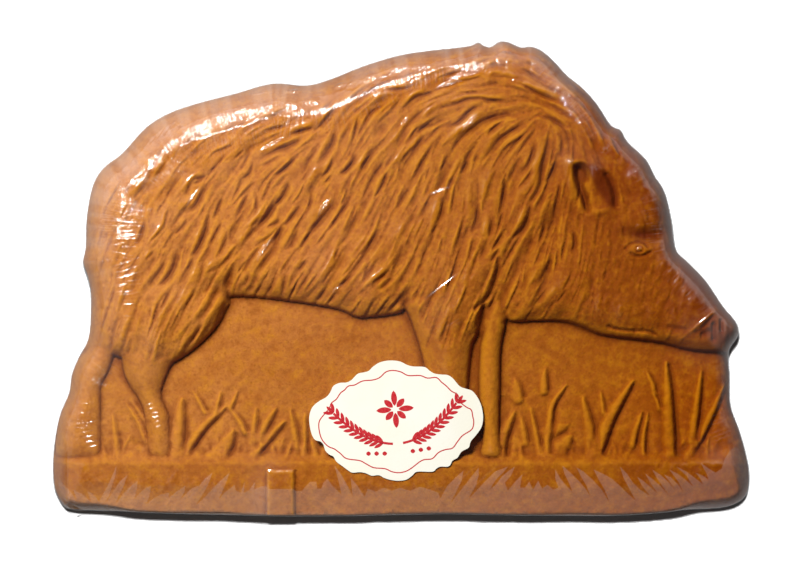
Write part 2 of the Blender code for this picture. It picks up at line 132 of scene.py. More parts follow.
# ---------------------------------------------------------------- carved strokes
# Each groove between two locks of hair: half width in drawing units, depth 0 to 1, then its course.
HAIR = [
    # loin and rump, along the back
    (1.6, 0.7, [(190, 188), (196, 181), (204, 179), (209, 177)]),
    (1.2, 0.5, [(210, 162), (216, 155), (224, 151), (236, 146)]),
    (1.0, 0.5, [(205, 187), (214, 172), (220, 166), (226, 158)]),
    (2.0, 0.8, [(290, 137), (300, 133), (315, 130)]),
    (1.2, 0.4, [(262, 134), (275, 130), (290, 127)]),
    (1.0, 0.5, [(257, 149), (268, 146), (280, 139), (285, 137)]),
    (3.5, 1.1, [(260, 164), (268, 157), (280, 151), (290, 148), (303, 141)]),
    (2.0, 0.7, [(262, 168), (272, 163), (280, 158), (288, 154)]),
    (2.0, 0.7, [(276, 176), (284, 172), (291, 166), (297, 160)]),
    (1.8, 0.8, [(242, 172), (246, 165), (250, 157), (252, 154)]),
    (1.2, 0.6, [(236, 161), (241, 156), (246, 151)]),
    (1.2, 0.6, [(244, 180), (250, 176), (253, 171), (254, 165)]),
    (2.8, 1.1, [(318, 168), (323, 160), (328, 152), (333, 145), (335, 138), (337, 132)]),
    (1.6, 0.7, [(323, 178), (329, 172), (332, 166), (334, 158)]),
    (1.0, 0.5, [(322, 140), (327, 136), (332, 131)]),
    (1.3, 0.6, [(344, 128), (349, 121), (355, 114), (361, 110)]),
    (1.4, 0.7, [(351, 150), (354, 140), (357, 128), (358, 120)]),
    (2.0, 0.9, [(340, 176), (347, 171), (353, 164), (356, 156)]),
    (1.2, 0.5, [(302, 178), (307, 170), (310, 162)]),
    (1.4, 0.5, [(300, 186), (305, 180), (309, 172), (312, 164)]),
    (1.2, 0.5, [(322, 188), (328, 182), (333, 176)]),
    # back and shoulder
    (1.8, 0.8, [(380, 96), (388, 92), (398, 92), (408, 90), (415, 87)]),
    (1.6, 0.8, [(403, 111), (409, 105), (415, 100), (423, 97), (432, 95)]),
    (1.5, 0.7, [(440, 110), (450, 108), (458, 105), (466, 102), (478, 101), (492, 103), (505, 105), (513, 103)]),
    (1.0, 0.5, [(455, 95), (470, 95), (483, 95)]),
    (3.3, 1.1, [(395, 149), (400, 141), (405, 133), (411, 124), (418, 117), (424, 112)]),
    (1.8, 0.7, [(405, 147), (410, 141), (414, 134), (420, 127)]),
    (2.0, 0.8, [(417, 134), (425, 129), (435, 126), (443, 122), (450, 120)]),
    (1.8, 0.8, [(445, 129), (455, 126), (462, 121), (468, 114), (476, 109), (484, 107)]),
    (3.6, 1.2, [(452, 151), (458, 142), (464, 136), (472, 130), (480, 124), (490, 120), (505, 117), (517, 119)]),
    (1.6, 0.6, [(350, 120), (356, 113), (364, 109)]),
    (1.6, 0.7, [(363, 130), (367, 121), (371, 115), (378, 110), (384, 107)]),
    (2.5, 0.8, [(405, 160), (412, 153), (418, 146), (424, 138)]),
    (2.0, 0.7, [(365, 158), (375, 151), (386, 140)]),
    (2.5, 0.4, [(374, 142), (378, 133), (384, 126), (390, 120)]),
    (1.3, 0.5, [(391, 113), (396, 107), (400, 102)]),
    (1.0, 0.4, [(431, 158), (436, 148), (440, 140)]),
    (1.5, 0.7, [(520, 71), (528, 75), (535, 79)]),
    (1.2, 0.5, [(522, 64), (530, 67), (534, 69)]),
    (2.0, 0.8, [(520, 87), (530, 92), (540, 97), (553, 103)]),
    # the whorl behind the ear
    (2.2, 0.9, [(485, 140), (490, 133), (496, 128), (503, 122)]),
    (3.0, 1.1, [(481, 163), (487, 156), (493, 148), (499, 141), (507, 135), (516, 130), (525, 125)]),
    (2.4, 1.0, [(490, 173), (494, 166), (499, 158), (504, 151), (511, 145), (520, 139)]),
    (1.4, 0.6, [(514, 160), (520, 150), (526, 142), (532, 134), (535, 128)]),
    (2.2, 0.8, [(520, 173), (526, 167), (530, 158), (532, 148), (533, 142)]),
    (2.0, 0.8, [(516, 190), (522, 184), (528, 176), (531, 168)]),
    (3.5, 1.2, [(527, 204), (533, 197), (538, 188), (540, 180), (541, 168), (544, 155), (547, 140), (548, 130)]),
    (3.0, 1.1, [(512, 238), (520, 231), (525, 223), (528, 213), (529, 205)]),
    (1.6, 0.7, [(543, 185), (547, 178), (551, 170), (553, 163)]),
    (2.0, 0.7, [(557, 160), (560, 150), (560, 142), (558, 135)]),
    (1.2, 0.5, [(556, 200), (557, 192), (557, 185)]),
    (2.0, 0.6, [(540, 118), (550, 121), (560, 126), (568, 131)]),
    (2.0, 0.7, [(575, 110), (583, 120), (590, 132), (596, 150)]),
    (1.4, 0.6, [(608, 138), (613, 148), (618, 158)]),
    (2.6, 1.0, [(497, 218), (500, 208), (502, 198), (503, 188), (504, 178)]),
    # haunch
    (3.0, 1.0, [(137, 200), (143, 193), (149, 186), (153, 178), (158, 171)]),
    (3.5, 1.1, [(184, 216), (190, 211), (197, 207), (201, 201), (204, 194), (206, 187)]),
    (1.5, 0.6, [(188, 198), (191, 189), (196, 182), (200, 176)]),
    (1.2, 0.5, [(192, 186), (200, 183), (207, 178)]),
    (1.6, 0.7, [(215, 220), (219, 212), (222, 204), (224, 199)]),
    (1.3, 0.6, [(203, 216), (206, 209), (208, 204)]),
    (3.0, 1.0, [(192, 257), (199, 251), (204, 242), (208, 232), (210, 222), (212, 216)]),
    (2.6, 1.0, [(137, 247), (142, 241), (145, 233), (147, 222)]),
    (1.5, 0.7, [(177, 235), (182, 231), (187, 225), (190, 220)]),
    (1.2, 0.5, [(150, 246), (155, 241), (160, 236), (165, 230), (169, 222)]),
    (1.2, 0.5, [(151, 227), (154, 218), (156, 208)]),
    (1.2, 0.5, [(163, 234), (167, 228), (170, 218), (171, 210)]),
    (1.2, 0.6, [(150, 260), (155, 254), (158, 251)]),
    (1.2, 0.5, [(160, 262), (163, 256), (165, 249)]),
    (2.8, 1.0, [(160, 287), (168, 280), (174, 272), (177, 263), (179, 250)]),
    (1.2, 0.4, [(183, 268), (186, 258), (188, 245)]),
    (2.4, 0.8, [(200, 286), (204, 275), (206, 262)]),
    (1.5, 0.6, [(212, 246), (216, 238), (221, 228), (224, 222)]),
    (2.0, 0.8, [(219, 258), (224, 249), (228, 240), (230, 231)]),
    (2.0, 0.8, [(212, 272), (220, 268), (228, 261), (233, 254), (239, 246)]),
    (4.0, 1.1, [(225, 290), (229, 281), (233, 271), (237, 262)]),
    (1.5, 0.6, [(238, 276), (243, 268), (247, 262)]),
    (2.0, 0.8, [(246, 287), (249, 280), (251, 274)]),
    (1.4, 0.7, [(231, 212), (238, 203), (245, 195), (252, 187), (257, 183)]),
    (1.5, 0.6, [(236, 222), (241, 214), (245, 205), (249, 196)]),
    (1.5, 0.6, [(254, 218), (258, 211), (258, 200), (257, 192)]),
    (1.0, 0.4, [(222, 187), (228, 182), (232, 174)]),
    (1.0, 0.5, [(234, 205), (237, 196), (241, 188), (243, 180)]),
    (1.5, 0.6, [(252, 229), (258, 223), (262, 218)]),
    (1.5, 0.6, [(185, 312), (190, 303), (195, 295), (200, 285)]),
    (1.0, 0.5, [(152, 318), (153, 312), (154, 306)]),
    (1.5, 0.6, [(163, 310), (168, 300), (172, 292)]),
    (3.0, 0.6, [(200, 320), (210, 308), (217, 295), (222, 283)]),
    (3.0, 0.9, [(216, 325), (224, 310), (229, 298), (229, 288)]),
    # middle of the body
    (3.0, 1.0, [(258, 226), (264, 222), (269, 217), (273, 210), (275, 204)]),
    (2.4, 1.0, [(276, 205), (283, 200), (288, 190), (290, 184)]),
    (1.5, 0.6, [(262, 208), (266, 198), (270, 190), (272, 182)]),
    (4.0, 1.2, [(258, 271), (263, 266), (269, 258), (275, 250), (278, 242), (281, 232), (283, 226)]),
    (1.6, 0.7, [(256, 248), (262, 243), (270, 238), (276, 232)]),
    (2.0, 0.8, [(268, 228), (277, 224), (282, 219)]),
    (1.6, 0.7, [(286, 226), (291, 220), (296, 214), (300, 208)]),
    (2.0, 0.8, [(287, 250), (292, 246), (296, 238), (299, 230)]),
    (3.6, 1.2, [(309, 233), (315, 227), (322, 220), (329, 212), (334, 204), (336, 196)]),
    (1.4, 0.6, [(306, 216), (310, 208), (312, 199), (312, 192)]),
    (2.0, 0.8, [(341, 206), (346, 198), (350, 183)]),
    (2.6, 1.0, [(337, 249), (343, 243), (348, 236), (352, 227), (356, 218), (358, 208)]),
    (1.8, 0.8, [(363, 200), (370, 185), (378, 172), (386, 163)]),
    (1.8, 0.8, [(375, 199), (380, 192), (384, 184), (387, 174)]),
    (3.0, 1.0, [(396, 211), (400, 204), (404, 197), (409, 190)]),
    (2.4, 0.9, [(398, 178), (400, 169), (404, 161), (410, 153), (416, 147)]),
    (1.8, 0.7, [(361, 173), (366, 163), (371, 156), (377, 150)]),
    (2.4, 0.8, [(360, 256), (366, 250), (371, 243), (376, 235), (378, 228)]),
    (3.0, 1.0, [(393, 270), (397, 262), (401, 254), (403, 246)]),
    (1.8, 0.8, [(364, 278), (367, 270), (370, 262)]),
    (1.8, 0.7, [(299, 271), (304, 265), (308, 259)]),
    (1.2, 0.5, [(322, 272), (327, 262), (331, 252)]),
    (1.2, 0.5, [(318, 246), (324, 238), (329, 230)]),
    (2.0, 0.8, [(283, 296), (285, 285), (287, 276)]),
    (1.2, 0.5, [(262, 284), (268, 276), (272, 268)]),
    (2.0, 0.7, [(370, 287), (376, 281), (383, 276), (392, 268)]),
    (1.5, 0.6, [(380, 290), (388, 283), (393, 277)]),
    (1.2, 0.5, [(305, 292), (312, 283), (317, 276)]),
    (1.4, 0.7, [(340, 287), (345, 282), (352, 276)]),
    (1.2, 0.5, [(335, 262), (338, 252), (342, 244)]),
    # shoulder, foreleg and chest
    (2.8, 1.0, [(470, 236), (473, 229), (476, 221), (477, 212), (477, 206)]),
    (2.4, 0.8, [(478, 262), (481, 254), (484, 246), (486, 240)]),
    (2.6, 0.9, [(488, 238), (490, 228), (490, 220)]),
    (2.0, 0.8, [(490, 252), (496, 243), (504, 230)]),
    (2.4, 0.9, [(490, 262), (494, 256), (498, 249)]),
    (1.8, 0.8, [(421, 220), (424, 212), (427, 204), (430, 197)]),
    (2.2, 0.9, [(433, 226), (437, 222), (441, 212), (443, 198)]),
    (1.4, 0.6, [(450, 216), (452, 204), (455, 185)]),
    (1.2, 0.5, [(463, 215), (464, 200), (462, 190)]),
    (1.0, 0.4, [(476, 205), (477, 190), (476, 178)]),
    (1.6, 0.6, [(460, 175), (464, 168), (468, 162)]),
    (1.6, 0.6, [(472, 172), (474, 164), (477, 156)]),
    (1.2, 0.5, [(440, 172), (444, 164), (447, 156)]),
    (1.2, 0.5, [(425, 183), (427, 175), (430, 168)]),
    (1.6, 0.7, [(439, 256), (441, 246), (442, 238)]),
    (1.4, 0.6, [(467, 262), (470, 252), (472, 240)]),
    # cheek
    (1.6, 0.6, [(523, 283), (524, 270), (528, 258)]),
    (2.8, 1.0, [(533, 288), (539, 280), (544, 271), (548, 262), (549, 252)]),
    (2.0, 0.7, [(553, 272), (555, 262), (556, 250)]),
    (2.0, 0.8, [(570, 253), (573, 243), (571, 232)]),
    (1.8, 0.7, [(537, 245), (541, 235), (543, 226)]),
    (1.8, 0.6, [(530, 308), (538, 298), (545, 288)]),
    (1.4, 0.5, [(552, 305), (560, 296), (565, 288)]),
]

# Longer carved lines with the same depth all along: half width, depth in millimetres, course.
LINES = [
    (2.6, 1.3, [(472, 310), (480, 304), (487, 297), (492, 288), (495, 278), (497, 268), (497, 256)]),
    (3.6, 2.6, [(484, 304), (481, 320), (478, 335), (474, 350), (472, 375), (470, 400)]),
    (2.4, 1.3, [(503, 322), (530, 325), (560, 322), (580, 327), (600, 336), (620, 339), (640, 341), (662, 345), (680, 351), (727, 353)]),
    (1.5, 0.8, [(605, 325), (612, 328), (625, 330), (646, 331), (655, 335)]),
    (2.2, 0.5, [(664, 326), (674, 328), (684, 329)]),
    (2.0, 0.55, [(692, 333), (699, 328), (705, 322), (710, 315)]),
    (4.0, 1.2, [(697, 334), (702, 333), (707, 330)]),
    (2.2, 1.5, [(710, 322), (709.5, 331), (711, 340)]),
    (1.6, 1.2, [(717, 319), (717.5, 325), (718, 331)]),
    (1.4, 0.25, [(725, 320), (726, 330), (725, 340)]),
    (1.4, 0.25, [(732, 320), (734, 327), (733, 337)]),
    (3.0, 1.3, [(603, 174), (609, 184), (613, 196), (613, 208)]),
    (1.1, 0.75, [(622, 250), (627, 245), (633, 242.5), (640, 243), (646, 248)]),
    (1.3, 0.85, [(627, 253), (632, 256), (640, 256), (649, 252)]),
    (0.8, 0.6, [(632, 249.5), (634, 247), (638, 247), (640, 249.5), (638, 252), (634, 252), (632, 249.5)]),
    (1.2, 0.5, [(240, 299), (290, 304), (340, 311), (357, 319), (380, 318), (402, 314), (408, 306)]),
]

# Rounded bumps and hollows: middle, half sizes, turn in degrees anticlockwise, height in millimetres.
SWELLS = [
    (640, 214, 22, 13, 60, 0.7), (640, 235, 20, 7.0, -4, -1.3), (655, 234, 13, 8.0, 14, -1.4),
    (636, 249, 10, 6, 0, 1.0), (636, 249.5, 2.8, 2.4, 0, 0.25), (652, 262, 16, 8, -45, 0.35),
    (686, 300, 26, 12, -48, 0.4), (698, 321.5, 19, 2.2, 40, 0.9), (715, 331, 2.2, 9, 0, 0.3),
    (722, 331, 1.8, 11, 0, 0.3), (706, 306, 6, 3.5, 20, -0.4),
    (668, 336, 24, 4, -8, 0.5), (588, 260, 10, 26, 0, 0.3),
    (433, 208, 9, 17, -10, 0.7), (560, 270, 34, 30, 0, 0.5),
    (612, 305, 30, 16, 0, 0.3), (540, 125, 12, 8, 0, -0.5),
]

# The ear: a raised leaf whose tip points up and back, with a hollow in it that is deepest under
# the tip and along the far edge, and a small fold of skin in the hollow.
EAR_LEAF = [
    (559, 163), (563, 156), (571, 154.5), (580, 158), (590, 162), (600, 169), (608, 179), (614, 190), (617, 202),
    (616, 214), (606, 222), (594, 224), (582, 222), (573, 214), (567, 200), (562, 184), (559, 172),
]
EAR_HOLLOW = [
    (571, 167), (576, 164), (582, 165), (586, 169), (588, 176), (587, 184), (587, 193), (588, 203),
    (589, 211), (585, 214), (581, 209), (577, 199), (573, 188), (570.5, 177),
]
EAR_BACK = [
    (577, 163), (590, 165), (601, 171), (609, 182), (614, 195), (613, 209), (606, 207), (600, 198),
    (594, 191), (590, 183), (585, 172),
]
EAR_FOLDS = [
    (592, 172, 9.0, 9.0, 30, 0.9), (583, 187, 3.0, 6.0, 10, 1.3), (566, 162, 6.0, 5.0, 30, 0.8),
    (567, 186, 3.6, 22, 8, 0.6), (599, 212, 9, 4.5, 8, 0.8),
]

# Which way the hair runs where few strokes are drawn: place, degrees anticlockwise from +u.
FLOW = [
    (560, 75, -38), (585, 98, -46), (606, 135, -58), (630, 160, -62), (650, 195, -72),
    (560, 108, -30), (590, 132, -52), (612, 165, -66), (640, 196, -70), (657, 228, -80),
    (600, 240, 82), (620, 275, 76), (590, 282, 78), (640, 292, 80), (660, 302, 74), (690, 300, 66),
    (600, 312, 85), (560, 300, 70), (520, 300, 65), (450, 72, 24), (480, 66, 28), (510, 76, -12),
    (535, 60, -30), (400, 78, 26), (350, 95, 28), (300, 112, 24), (250, 124, 30), (200, 148, 44),
    (160, 190, 52), (120, 220, 64), (112, 280, 78), (128, 332, 72), (160, 350, 74), (200, 322, 60),
    (108, 250, 72), (430, 300, 66), (446, 330, 72), (446, 280, 70),
]

# Raised stalks, blades and leaves: half width, height, course from the foot up.
GRASS = [
    (2.6, 0.9, [(119, 456), (117, 436), (114, 412)]),
    (1.6, 0.8, [(121, 457), (126, 445), (133, 434)]),
    (2.2, 0.9, [(147, 440), (139, 420), (127, 402)]),
    (1.8, 0.8, [(151, 432), (142, 414), (133, 400)]),
    (5.0, 1.5, [(177, 457), (179, 430), (183, 398)]),
    (3.4, 1.5, [(184, 454), (195, 438), (206, 424), (228, 405)]),
    (1.8, 0.9, [(206, 412), (200, 400), (193, 388)]),
    (2.2, 1.0, [(216, 412), (219, 402), (222, 391)]),
    (1.8, 0.9, [(231, 408), (235, 399), (239, 389)]),
    (2.2, 1.0, [(246, 432), (240, 420), (230, 407)]),
    (6.0, 1.5, [(214, 457), (224, 448), (234, 430)]),
    (3.0, 1.1, [(252, 448), (254, 430), (257, 408)]),
    (3.4, 1.3, [(258, 440), (266, 424), (277, 407)]),
    (3.8, 1.4, [(251, 457), (264, 441), (286, 420)]),
    (1.8, 0.9, [(287, 456), (290, 448), (294, 439)]),
    (3.0, 1.0, [(297, 446), (294, 428), (291, 409)]),
    (2.6, 1.0, [(304, 454), (305, 432), (306, 411)]),
    (2.4, 1.0, [(316, 456), (314, 447), (311, 438)]),
    (4.4, 1.4, [(499, 456), (502, 436), (514, 411)]),
    (4.2, 1.0, [(517, 398), (516, 388), (515, 379)]),
    (3.0, 0.9, [(524, 442), (523, 431), (521, 418)]),
    (2.4, 1.0, [(539, 453), (535, 431), (530, 407)]),
    (3.4, 1.1, [(543, 390), (543, 379), (545, 368)]),
    (3.2, 1.4, [(545, 453), (548, 425), (552, 403), (566, 384)]),
    (7.5, 1.3, [(548, 453), (559, 446), (570, 435)]),
    (5.0, 1.0, [(546, 432), (557, 428), (567, 424)]),
    (4.2, 1.3, [(590, 452), (588, 428), (582, 397)]),
    (2.0, 0.9, [(602, 412), (601, 401), (599, 389)]),
    (4.6, 1.6, [(595, 452), (605, 425), (616, 404), (632, 380)]),
    (3.0, 1.2, [(631, 444), (634, 430), (641, 411)]),
    (2.6, 1.1, [(641, 452), (642, 434), (647, 412)]),
    (2.2, 1.0, [(653, 393), (651, 383), (645, 370)]),
    (1.8, 0.9, [(658, 408), (655, 399), (650, 390)]),
    (4.8, 1.7, [(668, 457), (667, 420), (665, 362)]),
    (3.4, 1.4, [(690, 440), (694, 410), (700, 370)]),
    (3.4, 1.3, [(686, 455), (702, 428), (724, 384)]),
    (9.0, 1.1, [(728, 458), (739, 452), (744, 438)]),
    (9.0, 0.9, [(182, 459), (191, 456), (201, 457)]),
    (5.0, 0.8, [(240, 458), (250, 456), (262, 458)]),
    (4.0, 0.8, [(271, 458), (279, 455), (287, 458)]),
    (3.0, 0.8, [(288, 459), (294, 456), (300, 459)]),
    (8.0, 0.8, [(128, 457), (140, 454), (152, 458)]),
]

# ---------------------------------------------------------------- the film
# Creases: half width, height in millimetres, course.
CREASES = [
    (1.2, 0.16, [(304, 90), (314, 93), (323, 97)]),
    (1.3, 0.20, [(427, 298), (441, 287), (456, 275)]),
    (1.0, 0.16, [(444, 328), (452, 323), (461, 318)]),
    (1.0, 0.16, [(112, 495), (118, 482), (121, 466)]),
    (1.1, 0.18, [(108, 500), (116, 489), (128, 475)]),
    (1.2, 0.18, [(122, 501), (132, 488), (139, 479)]),
    (1.5, 0.18, [(135, 497), (143, 489), (151, 485)]),
    (1.3, 0.16, [(152, 500), (164, 488), (182, 466)]),
    (1.2, 0.16, [(168, 503), (176, 494), (187, 484)]),
    (1.6, 0.20, [(190, 500), (200, 487), (213, 472)]),
    (1.6, 0.18, [(212, 497), (221, 485), (231, 473)]),
    (1.3, 0.16, [(336, 463), (342, 474), (349, 490)]),
    (1.2, 0.16, [(352, 476), (358, 484), (364, 496)]),
    (1.4, 0.20, [(452, 500), (462, 478), (478, 464)]),
    (1.5, 0.22, [(456, 505), (476, 484), (496, 466), (508, 464)]),
    (1.2, 0.16, [(494, 486), (504, 474), (514, 466)]),
    (1.2, 0.16, [(514, 484), (520, 476), (527, 470)]),
    (1.4, 0.18, [(555, 468), (563, 484), (566, 493)]),
    (1.5, 0.20, [(562, 464), (574, 478), (590, 496)]),
    (1.6, 0.20, [(575, 466), (592, 482), (608, 504)]),
    (1.6, 0.20, [(592, 468), (612, 480), (634, 500)]),
    (1.4, 0.18, [(618, 464), (628, 480), (645, 500)]),
    (1.3, 0.18, [(640, 470), (650, 482), (668, 496)]),
    (1.3, 0.18, [(650, 466), (662, 480), (682, 494)]),
    (1.3, 0.18, [(660, 470), (676, 482), (690, 490)]),
    (1.2, 0.16, [(668, 464), (684, 476), (702, 486)]),
    (1.0, 0.14, [(690, 462), (700, 472), (708, 484)]),
]

# Taut facets that face the lamp: middle, half sizes, turn in degrees anticlockwise.
FACETS = [
    (157, 163, 13, 9, 45), (173, 148, 13, 8, 42), (190, 136, 13, 8, 40), (207, 127, 13, 9, 35),
    (226, 120, 13, 9, 25), (246, 115, 14, 9, 14), (268, 112, 16, 8, 6), (290, 109, 14, 6, 2),
    (312, 105, 10, 3.5, 6), (138, 180, 10, 5, 58), (145, 172, 7, 3, 60),
    (154, 141, 4, 1.5, 60), (162, 134, 4, 1.3, 60), (169, 130, 5, 1.3, 65), (176, 125, 3, 1.0, 65),
    (341, 88, 6, 2.6, 20), (354, 86, 7, 4.0, 25), (370, 82, 9, 5.5, 28), (395, 73, 12, 5.0, 18),
    (418, 70, 13, 3.2, 8), (384, 79, 6, 2.8, 25), (448, 87, 10, 2.2, 12), (463, 78, 13, 2.6, 8),
    (484, 74, 1.6, 1.2, 0), (458, 61, 1.8, 1.2, 0), (496, 61, 1.0, 2.2, 0), (504, 64, 1.0, 2.0, 0),
    (511, 66, 1.0, 1.6, 0), (512, 83, 1.1, 1.1, 0),
    (405, 124, 4.0, 1.8, 55), (469, 125, 8, 2.2, 45), (275, 146, 10, 2.0, 30), (266, 249, 10, 2.0, 62),
    (326, 207, 8, 2.0, 58), (338, 288, 4.5, 1.3, 45), (439, 192, 8, 1.6, 12), (196, 197, 8, 1.6, 62),
    (568, 164, 2.5, 1.4, 30), (634, 226, 1.6, 1.0, 0), (88, 421.5, 9, 1.1, 14), (84, 426, 5, 1.0, 10), (89, 430.5, 6, 1.0, 14), (92, 435, 5.5, 1.1, 16),
    (94, 440.5, 6, 1.0, 12), (96, 445, 4, 1.0, 8), (86, 412, 5, 0.9, 18), (90, 402, 5, 0.9, 20),
    (154, 402.5, 5, 1.0, 22), (155, 407, 3.5, 0.9, 15), (158, 411.5, 3.5, 0.9, 12), (158, 416, 3.5, 0.9, 14),
    (160, 420.5, 3, 0.9, 15), (161, 425, 3, 0.9, 20),
    (122, 192, 1.6, 1.2, 0), (118, 200, 1.4, 1.2, 0), (126, 207, 1.2, 1.2, 0),
    (262, 95, 12, 1.4, 8), (290, 94, 9, 2.2, 10), (72, 506, 9, 2.4, -35),
]

# ---------------------------------------------------------------- the label
LABEL_EDGE = [
    (310, 418), (311, 411), (314, 405), (320, 400), (327, 396), (331, 391), (334, 385), (340, 382),
    (347, 381.5), (352, 379), (358, 373), (364, 371.5), (369, 370), (373, 366), (379, 362), (386, 360),
    (394, 359.7), (401, 361), (407, 364), (413, 365.5), (424, 366), (429, 369.5), (434, 372.5),
    (441, 373.5), (447, 374), (452, 377), (459, 385), (465, 387.5), (471, 389.5), (476, 395),
    (480, 403), (482, 412), (482, 420), (480, 427), (475, 434), (470, 440), (468, 446), (461, 450),
    (457, 456), (452, 459), (450, 463), (447, 465), (440, 465), (436, 467), (432, 470), (417, 470),
    (412, 474), (406, 478), (398, 479), (390, 478), (384, 476), (379, 473.5), (372, 474),
    (366, 471.5), (360, 470.5), (353, 471), (349, 469), (343, 464.5), (337, 460), (334, 455),
    (330, 453), (326, 449), (324, 443), (321, 440), (316, 438.5), (313, 434), (311, 427),
]
KEYLINE = [
    (319.5, 425), (320.5, 419), (325, 413), (330, 407), (332, 402), (337, 398), (341, 392), (345, 389),
    (349, 385), (355, 384), (363, 380), (373, 379), (380, 376.5), (386, 371), (393, 369.5), (401, 371),
    (408, 374.5), (420, 374.5), (427, 377), (436, 376.5), (441, 381), (446, 385), (451, 390),
    (457, 393.5), (460, 401), (466, 406), (470.5, 408.5), (472, 415), (473, 421), (471, 428),
    (462, 434), (457, 440), (452, 446.5), (445, 448), (438, 451), (432, 457), (424, 458),
    (419, 460.5), (412, 466), (406, 469.5), (399, 471), (392, 470), (385, 467), (374, 466),
    (366, 462), (360, 459), (347, 457), (341, 452), (335, 447.5), (329, 445), (324, 440), (321, 434),
]
LABEL_THICK = 0.16


# ---------------------------------------------------------------- numbers on the grid
def mm(point):
    """A drawing point in millimetres from the origin."""
    return ((point[0] - CENTRE_U) * DRAW_UNIT, (CENTRE_V - point[1]) * DRAW_UNIT)


def smooth_loop(points, steps):
    """A closed curve through the points, with so many steps from each to the next."""
    p = np.array([mm(q) for q in points])
    before, after, beyond = np.roll(p, 1, 0), np.roll(p, -1, 0), np.roll(p, -2, 0)
    found = []
    for t in np.arange(steps) / steps:
        found.append(
            0.5
            * (
                2 * p
                + (after - before) * t
                + (2 * before - 5 * p + 4 * after - beyond) * t**2
                + (3 * p - before - 3 * after + beyond) * t**3
            )
        )
    return np.stack(found, 1).reshape(-1, 2)


def smooth_run(points, steps):
    """An open curve through the points."""
    p = np.array([mm(q) for q in points])
    wide = np.vstack([2 * p[0] - p[1], p, 2 * p[-1] - p[-2]])
    a, b, c, d = wide[:-3], wide[1:-2], wide[2:-1], wide[3:]
    found = [
        0.5 * (2 * b + (c - a) * t + (2 * a - 5 * b + 4 * c - d) * t**2 + (3 * b - a - 3 * c + d) * t**3)
        for t in np.arange(steps) / steps
    ]
    return np.vstack([np.stack(found, 1).reshape(-1, 2), p[-1:]])


def inside_distance(x, y, loop):
    """The distance to a closed curve, positive inside it."""
    nearest = np.full(x.shape, np.inf)
    inside = np.zeros(x.shape, bool)
    for (ax, ay), (bx, by) in zip(loop, np.roll(loop, -1, 0), strict=True):
        ex, ey = bx - ax, by - ay
        t = np.clip(((x - ax) * ex + (y - ay) * ey) / (ex * ex + ey * ey + 1e-12), 0, 1)
        nearest = np.minimum(nearest, (x - ax - t * ex) ** 2 + (y - ay - t * ey) ** 2)
        if ay != by:
            crossing = (y < ay) != (y < by)
            inside ^= crossing & (x < ax + (y - ay) * ex / (by - ay))
    nearest = np.sqrt(nearest)
    return np.where(inside, nearest, -nearest)


def round_the_edge(x, y, loop):
    """How far round a closed curve its nearest point is, in millimetres."""
    nearest, along = np.full(x.shape, np.inf), np.zeros(x.shape)
    start = 0.0
    for (ax, ay), (bx, by) in zip(loop, np.roll(loop, -1, 0), strict=True):
        ex, ey = bx - ax, by - ay
        length = math.hypot(ex, ey)
        t = np.clip(((x - ax) * ex + (y - ay) * ey) / (length**2 + 1e-12), 0, 1)
        d = (x - ax - t * ex) ** 2 + (y - ay - t * ey) ** 2
        closer = d < nearest
        nearest[closer], along[closer] = d[closer], (start + t * length)[closer]
        start += length
    return along


def rounded(distance, width, low, high):
    """A quarter ellipse that rises from low at the edge to high at that width inside it."""
    t = np.clip(distance / width, 0, 1)
    return low + (high - low) * np.sqrt(1 - (1 - t) ** 2)


def step(value, start, end):
    t = np.clip((value - start) / (end - start), 0, 1)
    return t * t * (3 - 2 * t)


def softened(values, reach, spacing):
    """The values blurred over that reach, in millimetres."""
    span = max(1, int(3 * reach / spacing))
    weights = np.exp(-0.5 * (np.arange(-span, span + 1) * spacing / reach) ** 2)
    weights /= weights.sum()
    for axis in (0, 1):
        pad = [(span, span) if a == axis else (0, 0) for a in (0, 1)]
        wide = np.pad(values, pad, mode="edge")
        size = values.shape[axis]
        total = np.zeros_like(values)
        for i, w in enumerate(weights):
            total += w * (wide[i : i + size] if axis == 0 else wide[:, i : i + size])
        values = total
    return values


def soft_max(a, b, blend):
    return 0.5 * (a + b + np.sqrt((a - b) ** 2 + blend**2))


def value_noise(seed, x, y, cell):
    """Smooth seeded noise between -1 and 1 with that cell size in millimetres."""
    rng = np.random.default_rng(seed)
    nx, ny = int(np.ptp(x) / cell) + 4, int(np.ptp(y) / cell) + 4
    grid = rng.uniform(-1, 1, (ny, nx))
    gx, gy = (x - x.min()) / cell, (y - y.min()) / cell
    i, j = np.floor(gy).astype(int), np.floor(gx).astype(int)
    fx, fy = gx - j, gy - i
    fx, fy = fx * fx * (3 - 2 * fx), fy * fy * (3 - 2 * fy)
    top = grid[i, j] * (1 - fx) + grid[i, j + 1] * fx
    low = grid[i + 1, j] * (1 - fx) + grid[i + 1, j + 1] * fx
    return top * (1 - fy) + low * fy


LOOP = smooth_loop(OUTLINE, 4)
X_LOW, Y_LOW = LOOP.min(0) - 2.4
COLUMNS = int(math.ceil((LOOP[:, 0].max() + 2.4 - X_LOW) / STEP))
ROWS = int(math.ceil((LOOP[:, 1].max() + 2.4 - Y_LOW) / STEP))
XS, YS = X_LOW + STEP * np.arange(COLUMNS + 1), Y_LOW + STEP * np.arange(ROWS + 1)
X, Y = np.meshgrid(XS, YS)
U, V = X / DRAW_UNIT + CENTRE_U, CENTRE_V - Y / DRAW_UNIT
EDGE = inside_distance(X, Y, LOOP)
ROUND = round_the_edge(X, Y, LOOP)
LAMP = np.array([-0.60, 0.80])  # the side that the main light comes from, seen from above


